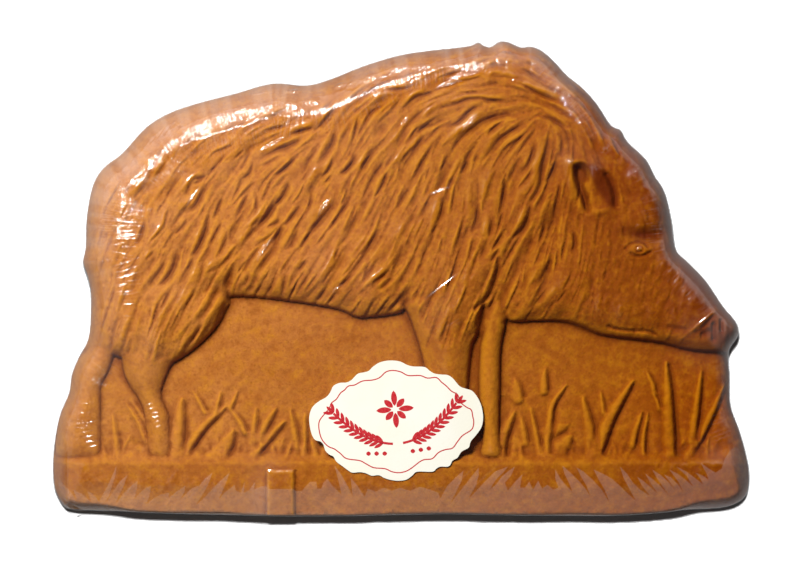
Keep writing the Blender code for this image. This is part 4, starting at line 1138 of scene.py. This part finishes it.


# Along the feet the film has drawn off the dough and looks milky; this sheet's diffuse white is partly that haze and
# partly painted reflection of the pale surroundings. Its upper edge is ragged: pointed folds lean up to the right on
# the left side and up to the left on the right side.
VEIL_TOP = [
    (59, 478), (64, 483), (70, 487), (79, 499), (76, 488), (84, 492), (93, 500), (90, 489), (97, 494),
    (101, 500), (108, 488), (113, 478), (119, 464), (118, 474), (114, 486), (107, 503), (114, 492),
    (122, 480), (130, 473), (126, 484), (120, 496), (117, 503), (124, 494), (132, 485), (140, 479),
    (139, 488), (136, 498), (142, 491), (148, 486), (153, 484), (152, 492), (148, 503), (155, 497),
    (162, 493), (171, 491), (170, 498), (165, 504), (172, 495), (180, 489), (187, 484), (186, 491),
    (181, 499), (187, 493), (193, 487), (200, 484), (196, 492), (190, 498), (200, 485), (208, 476),
    (214, 471), (211, 480), (206, 490), (197, 504), (206, 496), (214, 487), (222, 479), (231, 471),
    (228, 480), (224, 489), (220, 498), (226, 491), (231, 487), (236, 483), (237, 489), (242, 491),
    (246, 480), (245, 491), (250, 489), (257, 479), (255, 488), (261, 485), (268, 484), (270, 487),
    (294, 487), (297, 489), (303, 489), (306, 485), (311, 480), (317, 480), (318, 487), (322, 487),
    (324, 481), (328, 477), (333, 484), (342, 493), (339, 479), (335, 464), (342, 473), (348, 484),
    (353, 495), (352, 485), (351, 476), (357, 483), (365, 495), (368, 487), (376, 490), (384, 486),
    (392, 489), (400, 486), (410, 489), (420, 485), (430, 488), (438, 491), (440, 497), (447, 484),
    (456, 475), (463, 469), (461, 479), (455, 491), (450, 502), (460, 489), (470, 476), (478, 466),
    (478, 474), (475, 484), (468, 497), (476, 489), (484, 480), (494, 470), (507, 465), (503, 470),
    (495, 478), (489, 488), (496, 482), (501, 475), (508, 469), (514, 465), (510, 474), (504, 481),
    (507, 489), (511, 484), (515, 479), (521, 473), (520, 480), (519, 486), (524, 486), (528, 480),
    (532, 488), (537, 479), (541, 487), (546, 483), (552, 488), (557, 486), (554, 477), (554, 468),
    (559, 477), (565, 484), (571, 490), (567, 480), (563, 472), (561, 464), (569, 471), (578, 480),
    (584, 487), (589, 495), (585, 484), (580, 476), (575, 466), (582, 470), (591, 478), (600, 488),
    (608, 501), (603, 488), (597, 478), (592, 468), (601, 472), (610, 477), (618, 484), (626, 492),
    (634, 499), (628, 488), (622, 477), (618, 465), (625, 472), (631, 481), (638, 488), (648, 494),
    (640, 484), (635, 475), (641, 479), (648, 485), (656, 492), (650, 484), (643, 472), (650, 477),
    (658, 484), (668, 495), (660, 484), (655, 477), (650, 468), (658, 473), (666, 480), (674, 490),
    (668, 481), (662, 473), (669, 476), (676, 483), (682, 492), (676, 480), (667, 468), (675, 472),
    (683, 478), (691, 485), (684, 474), (674, 465), (684, 470), (692, 476), (701, 483), (697, 476),
    (693, 471), (700, 474), (706, 478), (704, 472), (698, 461), (706, 467), (713, 471), (719, 467),
    (722, 458), (727, 450), (734, 446),
]
VEIL_FOOT = [
    (741, 452), (744, 466), (744, 480), (741, 491), (727, 502), (690, 507.5), (660, 510.5), (610, 513.5),
    (560, 513.5), (500, 512.5), (450, 511.5), (400, 512.5), (350, 513.5), (280, 513.5), (210, 512.5), (150, 510.5),
    (100, 508.5), (78, 507), (66, 502), (59, 490),
]
veil_loop = np.array([mm(q) for q in VEIL_TOP + VEIL_FOOT])
veil_film = film_z + 0.05
veil = label_sheet("film_folds_glare", lambda x, y: sampled(veil_film, x, y), 0.03, veil_loop, 0.6)

flat_film = softened(film_z, 2.2, STEP)
lift = float(np.max((film_z - flat_film)[(((U - 396) / 84) ** 2 + ((V - 419) / 58) ** 2 < 1)]))


def label_bed(x, y):
    return sampled(flat_film, x, y) + min(lift, 0.5) + 0.02


label = label_sheet("label_paper", label_bed, LABEL_THICK, smooth_loop(LABEL_EDGE, 4))


# ---------------------------------------------------------------- the print: a keyline and a wheat wreath
def strip(points, half_widths, closed):
    """Corners of a thin band along a course, on a plane, as a list of quads."""
    p = np.array(points)
    ahead = np.roll(p, -1, 0) if closed else np.vstack([p[1:], 2 * p[-1] - p[-2]])
    behind = np.roll(p, 1, 0) if closed else np.vstack([2 * p[0] - p[1], p[:-1]])
    t = ahead - behind
    t /= np.linalg.norm(t, axis=1)[:, None] + 1e-9
    n = np.stack([-t[:, 1], t[:, 0]], 1) * np.broadcast_to(half_widths, len(p))[:, None]
    lefts, rights = p + n, p - n
    count = len(p) if closed else len(p) - 1
    return [
        (rights[k], rights[(k + 1) % len(p)], lefts[(k + 1) % len(p)], lefts[k]) for k in range(count)
    ]


def grain(u, v, turn, length, width, seeds=9):
    """A pointed oval, such as a grain or a leaf, as quads either side of its middle line."""
    a = math.radians(turn)
    along = np.linspace(-1, 1, seeds)
    wide = width * np.clip(1 - along**2, 0, 1) ** 0.75 + 0.02
    line = [(u + math.cos(a) * s * length, v - math.sin(a) * s * length) for s in along]
    return strip([mm(q) for q in line], wide * DRAW_UNIT, False)


quads = strip(smooth_loop(KEYLINE, 4), 0.17, True)
TILT = math.radians(5)


def on_label(du, dv):
    """A place on the label, from its middle, turned as the label is."""
    return (396 + du * math.cos(TILT) + dv * math.sin(TILT), 419 - du * math.sin(TILT) + dv * math.cos(TILT))


for mirror in (-1, 1):
    stem = []
    for k in range(13):
        t = k / 12
        stem.append(on_label(mirror * (5 + 56 * t), 23 - 6 * t - 29 * t * t))
    quads += strip(smooth_run(stem, 2), 0.36, False)
    for k in range(2, 13):
        u, v = stem[k]
        du, dv = stem[k][0] - stem[k - 1][0], stem[k][1] - stem[k - 1][1]
        turn = math.degrees(math.atan2(-dv, du))
        for side in (-1, 1):
            lean = turn + side * 38
            a = math.radians(lean)
            quads += grain(u + 5.4 * math.cos(a), v - 5.4 * math.sin(a), lean, 5.2, 1.7)
    u, v = stem[-1]
    quads += grain(u + mirror * 3.6, v - 3.8, turn, 4.8, 1.7)
for k in range(8):
    turn = k * 45
    a = math.radians(turn)
    reach = 11.0 if k % 2 == 0 else 8.4
    u, v = on_label(reach * math.cos(a), -11 - reach * math.sin(a))
    quads += grain(u, v, turn + 5, 7.6 if k % 2 == 0 else 5.6, 2.9)
for du in (-60, -44, -28, 28, 44, 60):
    quads += grain(*on_label(du * 0.5, 33 - abs(du) * 0.04), 90, 2.3, 2.3, 7)

bm = bmesh.new()
for quad in quads:
    lower, upper = [], []
    for x, y in quad:
        z = float(label_bed(np.array(x), np.array(y))) + LABEL_THICK
        lower.append(bm.verts.new((x / 1000, y / 1000, (z - 0.02) / 1000)))
        upper.append(bm.verts.new((x / 1000, y / 1000, (z + 0.02) / 1000)))
    bm.faces.new(upper)
    bm.faces.new(lower[::-1])
    for k in range(4):
        n = (k + 1) % 4
        bm.faces.new((lower[k], lower[n], upper[n], upper[k]))
bmesh.ops.remove_doubles(bm, verts=bm.verts, dist=2e-7)
doubled = [f for f in bm.faces if f.calc_area() < 1e-13]
bmesh.ops.delete(bm, geom=doubled, context="FACES")
mesh = bpy.data.meshes.new("label_print")
bm.to_mesh(mesh)
bm.free()
label_print = keep(bpy.data.objects.new("label_print", mesh))


# ---------------------------------------------------------------- materials
class Nodes:
    """Short names for building a node material."""

    def __init__(self, name):
        self.material = bpy.data.materials.new(name)
        self.material.use_nodes = True
        self.tree = self.material.node_tree
        self.tree.nodes.clear()
        self.out = self.tree.nodes.new("ShaderNodeOutputMaterial")

    def add(self, kind, settings=None, **inputs):
        node = self.tree.nodes.new(kind)
        for key, value in (settings or {}).items():
            setattr(node, key, value)
        for key, value in inputs.items():
            self.put(node.inputs[key.replace("_", " ")], value)
        return node

    def put(self, socket, value):
        if isinstance(value, bpy.types.NodeSocket):
            self.tree.links.new(value, socket)
        else:
            socket.default_value = value

    def noise(self, scale, detail=3.0, rough=0.5, where=None):
        node = self.add("ShaderNodeTexNoise", Scale=scale, Detail=detail, Roughness=rough)
        if where is not None:
            self.put(node.inputs["Vector"], where)
        return node.outputs["Fac"]

    def math(self, how, a, b=0.0, clamp=False):
        node = self.tree.nodes.new("ShaderNodeMath")
        node.operation, node.use_clamp = how, clamp
        self.put(node.inputs[0], a)
        self.put(node.inputs[1], b)
        return node.outputs[0]

    def mapped(self, value, a, b, c=0.0, d=1.0):
        node = self.tree.nodes.new("ShaderNodeMapRange")
        for socket, v in zip(node.inputs, (value, a, b, c, d), strict=False):
            self.put(socket, v)
        return node.outputs[0]

    def mix(self, factor, a, b, blend="MIX"):
        node = self.tree.nodes.new("ShaderNodeMix")
        node.data_type, node.blend_type = "RGBA", blend
        self.put(node.inputs["Factor"], factor)
        self.put(node.inputs[6], a)
        self.put(node.inputs[7], b)
        return node.outputs[2]


def baked_dough():
    n = Nodes("baked_honey_dough")
    where = n.add("ShaderNodeNewGeometry").outputs["Position"]
    painted_relief_shading = n.add("ShaderNodeAttribute", {"attribute_name": "painted_relief_shading"}).outputs["Fac"]
    deep = n.add("ShaderNodeAttribute", {"attribute_name": "painted_deep_shade"}).outputs["Fac"]
    painted_head_shade = n.add("ShaderNodeAttribute", {"attribute_name": "painted_head_shade"}).outputs["Fac"]
    broad = n.noise(22.0, 3.0, 0.55, where)
    patch = n.noise(110.0, 4.0, 0.6, where)
    speck = n.noise(620.0, 3.0, 0.70, where)
    grain = n.noise(1500.0, 2.0, 0.6, where)
    across = n.add("ShaderNodeSeparateXYZ", Vector=where).outputs["X"]
    along = n.add("ShaderNodeSeparateXYZ", Vector=where).outputs["Y"]
    mottle = n.noise(300.0, 3.0, 0.6, where)
    # The colour darkens and reddens from left to right: partly the dough's own deeper bake, partly painted shade for
    # the light falling off to the right. The ground band below follows the same way.
    colour = n.mix(n.mapped(across, -0.09, 0.090), (0.455, 0.168, 0.0340, 1), (0.268, 0.053, 0.0003, 1))
    # The snout darker and redder: partly its browner bake, partly painted shade where the head turns from the light.
    snout = n.math("MULTIPLY", n.mapped(across, 0.034, 0.088), n.mapped(along, -0.032, -0.006), True)
    colour = n.mix(n.math("MULTIPLY", snout, 0.86), colour, (0.185, 0.031, 0.0006, 1))
    ground = n.mix(n.mapped(across, -0.03, 0.09), (0.275, 0.066, 0.0010, 1), (0.170, 0.027, 0.0003, 1))
    strip = n.math("MULTIPLY", n.mapped(along, -0.051, -0.056, 0.0, 0.60), n.mapped(along, -0.0655, -0.0610), True)
    colour = n.mix(strip, colour, ground)
    colour = n.mix(n.mapped(broad, 0.38, 0.66, 0.0, 0.30), colour, (0.370, 0.128, 0.0040, 1))
    colour = n.mix(n.mapped(patch, 0.40, 0.70, 0.0, 0.38), colour, (0.275, 0.066, 0.0010, 1))
    colour = n.mix(n.mapped(mottle, 0.50, 0.68, 0.0, 0.26), colour, (0.55, 0.220, 0.0050, 1))
    colour = n.mix(n.mapped(mottle, 0.48, 0.32, 0.0, 0.30), colour, (0.200, 0.042, 0.0010, 1))
    colour = n.mix(n.mapped(speck, 0.52, 0.72, 0.0, 0.24), colour, (0.58, 0.235, 0.0050, 1))
    colour = n.mix(n.mapped(speck, 0.48, 0.32, 0.0, 0.30), colour, (0.200, 0.045, 0.0010, 1))
    colour = n.mix(n.mapped(grain, 0.54, 0.74, 0.0, 0.42), colour, (0.16, 0.032, 0.0008, 1))
    # Painted shade in the hollows of the relief, deeper ones more, and painted highlight on its raised ridges.
    colour = n.mix(n.mapped(painted_relief_shading, 0.10, 0.95, 0.0, 0.62), colour, (0.13, 0.024, 0.0010, 1))
    colour = n.mix(n.mapped(deep, 0.20, 1.0, 0.0, 0.42), colour, (0.14, 0.026, 0.0010, 1))
    colour = n.mix(n.mapped(painted_relief_shading, -0.12, -0.80, 0.0, 0.42), colour, (0.60, 0.240, 0.0090, 1))
    # Painted shade over the forequarters, and again on the snout, which is partly its browner bake; low on the right
    # the colour is also made darker and redder.
    above = n.mapped(along, -0.030, -0.014)
    forequarter_shade = n.math("MULTIPLY", n.math("MULTIPLY", n.mapped(across, -0.02, 0.03), above), n.mapped(along, 0.058, 0.036))
    colour = n.mix(forequarter_shade, colour, (0.89, 0.87, 0.72, 1), "MULTIPLY")
    colour = n.mix(snout, colour, (0.80, 0.62, 0.20, 1), "MULTIPLY")
    low = n.math("MULTIPLY", n.mapped(across, 0.030, 0.080), n.mapped(along, -0.022, -0.036))
    colour = n.mix(low, colour, (0.90, 0.80, 0.25, 1), "MULTIPLY")
    # Painted shade on the head: the colour darkened where it turns from the light or lies in shadow.
    colour = n.mix(n.math("MULTIPLY", painted_head_shade, 0.92), colour, (0.105, 0.014, 0.0006, 1))
    rough = n.mapped(patch, 0.3, 0.7, 0.60, 0.78)
    height = n.math("ADD", n.math("MULTIPLY", speck, 0.6), n.math("MULTIPLY", grain, 0.4))
    bump = n.add("ShaderNodeBump", Strength=0.55, Distance=0.00040, Height=height)
    shader = n.add(
        "ShaderNodeBsdfPrincipled", Base_Color=colour, Roughness=rough, Normal=bump.outputs[0]
    )
    shader.inputs["Specular IOR Level"].default_value = 0.03
    n.put(n.out.inputs[0], shader.outputs[0])
    return n.material


def clear_film():
    """Clear film: its own thin reflection, with a soft glow round the sharp lights, and fine
    gathers that run in from the edge where it is drawn tight."""
    n = Nodes("clear_film")
    where = n.add("ShaderNodeNewGeometry")
    ripple = n.noise(140.0, 2.0, 0.5, where.outputs["Position"])
    bump = n.add("ShaderNodeBump", Strength=0.12, Distance=0.0004, Height=ripple)
    around = n.add("ShaderNodeAttribute", {"attribute_name": "round_edge"}).outputs["Fac"]
    inward = n.add("ShaderNodeAttribute", {"attribute_name": "from_edge"}).outputs["Fac"]
    amount = n.add("ShaderNodeAttribute", {"attribute_name": "gathered"}).outputs["Fac"]
    along = n.add("ShaderNodeCombineXYZ", X=n.math("MULTIPLY", around, 1.25), Y=n.math("MULTIPLY", inward, 0.12))
    pleats = n.math("MULTIPLY", n.noise(1.0, 2.0, 0.55, along.outputs[0]), amount)
    bump = n.add("ShaderNodeBump", Strength=1.0, Distance=0.00080, Height=pleats, Normal=bump.outputs[0])
    mirror = n.add("ShaderNodeFresnel", Normal=bump.outputs[0])
    mirror.inputs["IOR"].default_value = 1.62
    front = n.math("SUBTRACT", 1.0, where.outputs["Backfacing"])
    sharp = n.add("ShaderNodeBsdfGlossy", Color=(1, 1, 1, 1), Roughness=0.09, Normal=bump.outputs[0])
    soft = n.add("ShaderNodeBsdfGlossy", Color=(1, 0.97, 0.95, 1), Roughness=0.21, Normal=bump.outputs[0])
    gloss = n.tree.nodes.new("ShaderNodeMixShader")
    gloss.inputs[0].default_value = 0.36
    n.put(gloss.inputs[1], sharp.outputs[0])
    n.put(gloss.inputs[2], soft.outputs[0])
    clear = n.add("ShaderNodeBsdfTransparent", Color=(1, 1, 1, 1))
    mixed = n.tree.nodes.new("ShaderNodeMixShader")
    n.put(mixed.inputs[0], n.math("MULTIPLY", mirror.outputs[0], front, True))
    n.put(mixed.inputs[1], clear.outputs[0])
    n.put(mixed.inputs[2], gloss.outputs[0])
    # Diffuse white mixed into the film: partly its own haze, partly painted reflection and glare.
    haze_and_glare = n.add("ShaderNodeAttribute", {"attribute_name": "haze_and_glare"}).outputs["Fac"]
    haze_glare_bsdf = n.add("ShaderNodeBsdfDiffuse", Color=(0.98, 0.89, 0.82, 1))
    with_haze_glare = n.tree.nodes.new("ShaderNodeMixShader")
    n.put(with_haze_glare.inputs[0], n.math("MULTIPLY", haze_and_glare, front, True))
    n.put(with_haze_glare.inputs[1], mixed.outputs[0])
    n.put(with_haze_glare.inputs[2], haze_glare_bsdf.outputs[0])
    n.put(n.out.inputs[0], with_haze_glare.outputs[0])
    return n.material


def hazy_glare_film():
    """The same film where it has drawn off the dough: faintly milky, its diffuse white partly real haze and partly
    painted reflection of the pale surroundings.
    """
    n = Nodes("hazy_glare_film")
    where = n.add("ShaderNodeNewGeometry")
    cloud = n.noise(260.0, 3.0, 0.6, where.outputs["Position"])
    front = n.math("SUBTRACT", 1.0, where.outputs["Backfacing"])
    share = n.math("MULTIPLY", n.mapped(cloud, 0.3, 0.7, 0.054, 0.068), front)
    haze_glare_bsdf = n.add("ShaderNodeBsdfDiffuse", Color=(0.98, 0.89, 0.82, 1))
    clear = n.add("ShaderNodeBsdfTransparent", Color=(1, 1, 1, 1))
    mixed = n.tree.nodes.new("ShaderNodeMixShader")
    n.put(mixed.inputs[0], share)
    n.put(mixed.inputs[1], clear.outputs[0])
    n.put(mixed.inputs[2], haze_glare_bsdf.outputs[0])
    n.put(n.out.inputs[0], mixed.outputs[0])
    return n.material


def paper():
    n = Nodes("label_paper")
    where = n.add("ShaderNodeNewGeometry").outputs["Position"]
    fibre = n.noise(1400.0, 3.0, 0.6, where)
    cloud = n.noise(60.0, 2.0, 0.5, where)
    colour = n.mix(n.mapped(cloud, 0.35, 0.65), (0.765, 0.745, 0.635, 1), (0.785, 0.770, 0.690, 1))
    colour = n.mix(n.mapped(fibre, 0.55, 0.8, 0.0, 0.3), colour, (0.73, 0.70, 0.57, 1))
    bump = n.add("ShaderNodeBump", Strength=0.25, Distance=0.0001, Height=fibre)
    shader = n.add("ShaderNodeBsdfPrincipled", Base_Color=colour, Normal=bump.outputs[0])
    shader.inputs["Roughness"].default_value = 0.65
    shader.inputs["Specular IOR Level"].default_value = 0.12
    n.put(n.out.inputs[0], shader.outputs[0])
    return n.material


def ink():
    n = Nodes("label_ink")
    where = n.add("ShaderNodeNewGeometry").outputs["Position"]
    wear = n.noise(1800.0, 2.0, 0.6, where)
    colour = n.mix(n.mapped(wear, 0.35, 0.75), (0.42, 0.010, 0.018, 1), (0.52, 0.040, 0.045, 1))
    shader = n.add("ShaderNodeBsdfPrincipled", Base_Color=colour)
    shader.inputs["Roughness"].default_value = 0.6
    shader.inputs["Specular IOR Level"].default_value = 0.1
    n.put(n.out.inputs[0], shader.outputs[0])
    return n.material


def floor_finish():
    n = Nodes("floor")
    where = n.add("ShaderNodeNewGeometry").outputs["Position"]
    colour = n.mix(n.mapped(n.noise(3.0, 2.0, 0.5, where), 0.3, 0.7), (0.45, 0.45, 0.447, 1), (0.46, 0.46, 0.46, 1))
    # The table is plain and pale, but it throws little of its light back on the object.
    seen = n.add("ShaderNodeLightPath").outputs["Is Camera Ray"]
    colour = n.mix(seen, (0.09, 0.09, 0.09, 1), colour)
    shader = n.add("ShaderNodeBsdfDiffuse", Color=colour)
    n.put(n.out.inputs[0], shader.outputs[0])
    return n.material


couque.data.materials.append(baked_dough())
film.data.materials.append(clear_film())
veil.data.materials.append(hazy_glare_film())
label.data.materials.append(paper())
label_print.data.materials.append(ink())

for piece, node, slot in (
    (couque, "wrapped_couque", "biscuit"),
    (film, "wrapped_couque", "film"),
    (veil, "wrapped_couque", "film"),
    (label, "label", "label_paper"),
    (label_print, "label", "label_print"),
):
    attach(piece, "root")
    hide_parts(node)

# ---------------------------------------------------------------- floor, light and camera
bm = bmesh.new()
bmesh.ops.create_grid(bm, x_segments=8, y_segments=8, size=1.5)
for vert in bm.verts:
    vert.co.z = -0.00005
mesh = bpy.data.meshes.new("floor")
bm.to_mesh(mesh)
bm.free()
floor = keep(bpy.data.objects.new("floor", mesh))
floor.data.materials.append(floor_finish())


def lamp(name, place, aim, size_x, size_y, power, colour=(1, 1, 1)):
    light = bpy.data.lights.new(name, "AREA")
    light.shape, light.size, light.size_y = "RECTANGLE", size_x, size_y
    light.energy, light.color = power, colour
    obj = keep(bpy.data.objects.new(name, light))
    obj.location = place
    obj.rotation_euler = (Vector(aim) - Vector(place)).to_track_quat("-Z", "Y").to_euler()
    return obj


def lights_only(light, pieces):
    """Keeps a lamp's light to those pieces."""
    group = bpy.data.collections.new(light.name + "_lights")
    for piece in pieces:
        group.objects.link(piece)
    light.light_linking.receiver_collection = group


# The key stands at the upper left for the relief. The table has a lamp of its own, nearly overhead,
# so that the shadow under the edge is short.
key = lamp("key", tuple(LAMP_PLACE / 1000), (0, 0, 0.01), 0.15, 0.15, 6.5, (1.0, 0.985, 0.965))
lights_only(key, [couque, film, veil, label, label_print])
top = lamp("table_lamp", (-0.030, 0.185, 0.90), (0, 0, 0), 0.04, 0.04, 34.0)
lights_only(top, [floor])

# The studio round the object: dim for what it lights, with a bright window wall behind and to the
# left and a pale card at the foot that show only as reflections in the film.
world = bpy.data.worlds.new("studio")
bpy.context.scene.world = world
world.use_nodes = True
tree = world.node_tree
tree.nodes.clear()


def world_node(kind, **settings):
    node = tree.nodes.new(kind)
    for key, value in settings.items():
        setattr(node, key, value)
    return node


def ramp(source, start, end, level):
    node = world_node("ShaderNodeMapRange", interpolation_type="SMOOTHSTEP")
    tree.links.new(source, node.inputs["Value"])
    node.inputs["From Min"].default_value = start
    node.inputs["From Max"].default_value = end
    node.inputs["To Max"].default_value = level
    return node.outputs[0]


def add(a, b):
    node = world_node("ShaderNodeMath", operation="ADD")
    for socket, value in zip(node.inputs, (a, b), strict=False):
        if isinstance(value, float):
            socket.default_value = value
        else:
            tree.links.new(value, socket)
    return node.outputs[0]


coords = world_node("ShaderNodeTexCoord")
parts = world_node("ShaderNodeSeparateXYZ")
tree.links.new(coords.outputs["Generated"], parts.inputs[0])
x_way, y_way = parts.outputs["X"], parts.outputs["Y"]
seen = add(ramp(x_way, 0.10, -0.62, 0.75), 0.01)
seen = add(seen, ramp(y_way, 0.02, 0.62, 1.10))
seen = add(seen, ramp(y_way, -0.26, -0.50, 0.16))
seen = add(seen, ramp(x_way, 0.45, 0.90, 0.07))
path = world_node("ShaderNodeLightPath")
lit = world_node("ShaderNodeMix", data_type="FLOAT")
lit.inputs["A"].default_value = 0.075
tree.links.new(path.outputs["Is Glossy Ray"], lit.inputs["Factor"])
tree.links.new(seen, lit.inputs["B"])
shown = world_node("ShaderNodeMix", data_type="FLOAT")
shown.inputs["B"].default_value = 0.85
tree.links.new(path.outputs["Is Camera Ray"], shown.inputs["Factor"])
tree.links.new(lit.outputs[0], shown.inputs["A"])
back = world_node("ShaderNodeBackground")
back.inputs["Color"].default_value = (0.98, 0.985, 1.0, 1)
tree.links.new(shown.outputs[0], back.inputs["Strength"])
out = world_node("ShaderNodeOutputWorld")
tree.links.new(back.outputs[0], out.inputs[0])

camera = bpy.data.cameras.new("camera")
camera.lens, camera.sensor_width = 135.0, 36.0
camera.clip_start, camera.clip_end = 0.05, 20.0
eye = keep(bpy.data.objects.new("camera", camera))
# 800 x 563 squares of the drawing fill the frame at the height of the rim.
middle = mm((400.0, 281.5))
eye.location = (middle[0] / 1000, middle[1] / 1000, 0.008 + 0.240 * 135.0 / 36.0)
eye.rotation_euler = (0, 0, 0)
bpy.context.scene.camera = eye
bpy.context.scene.view_settings.view_transform = "Standard"
bpy.context.scene.view_settings.look = "None"
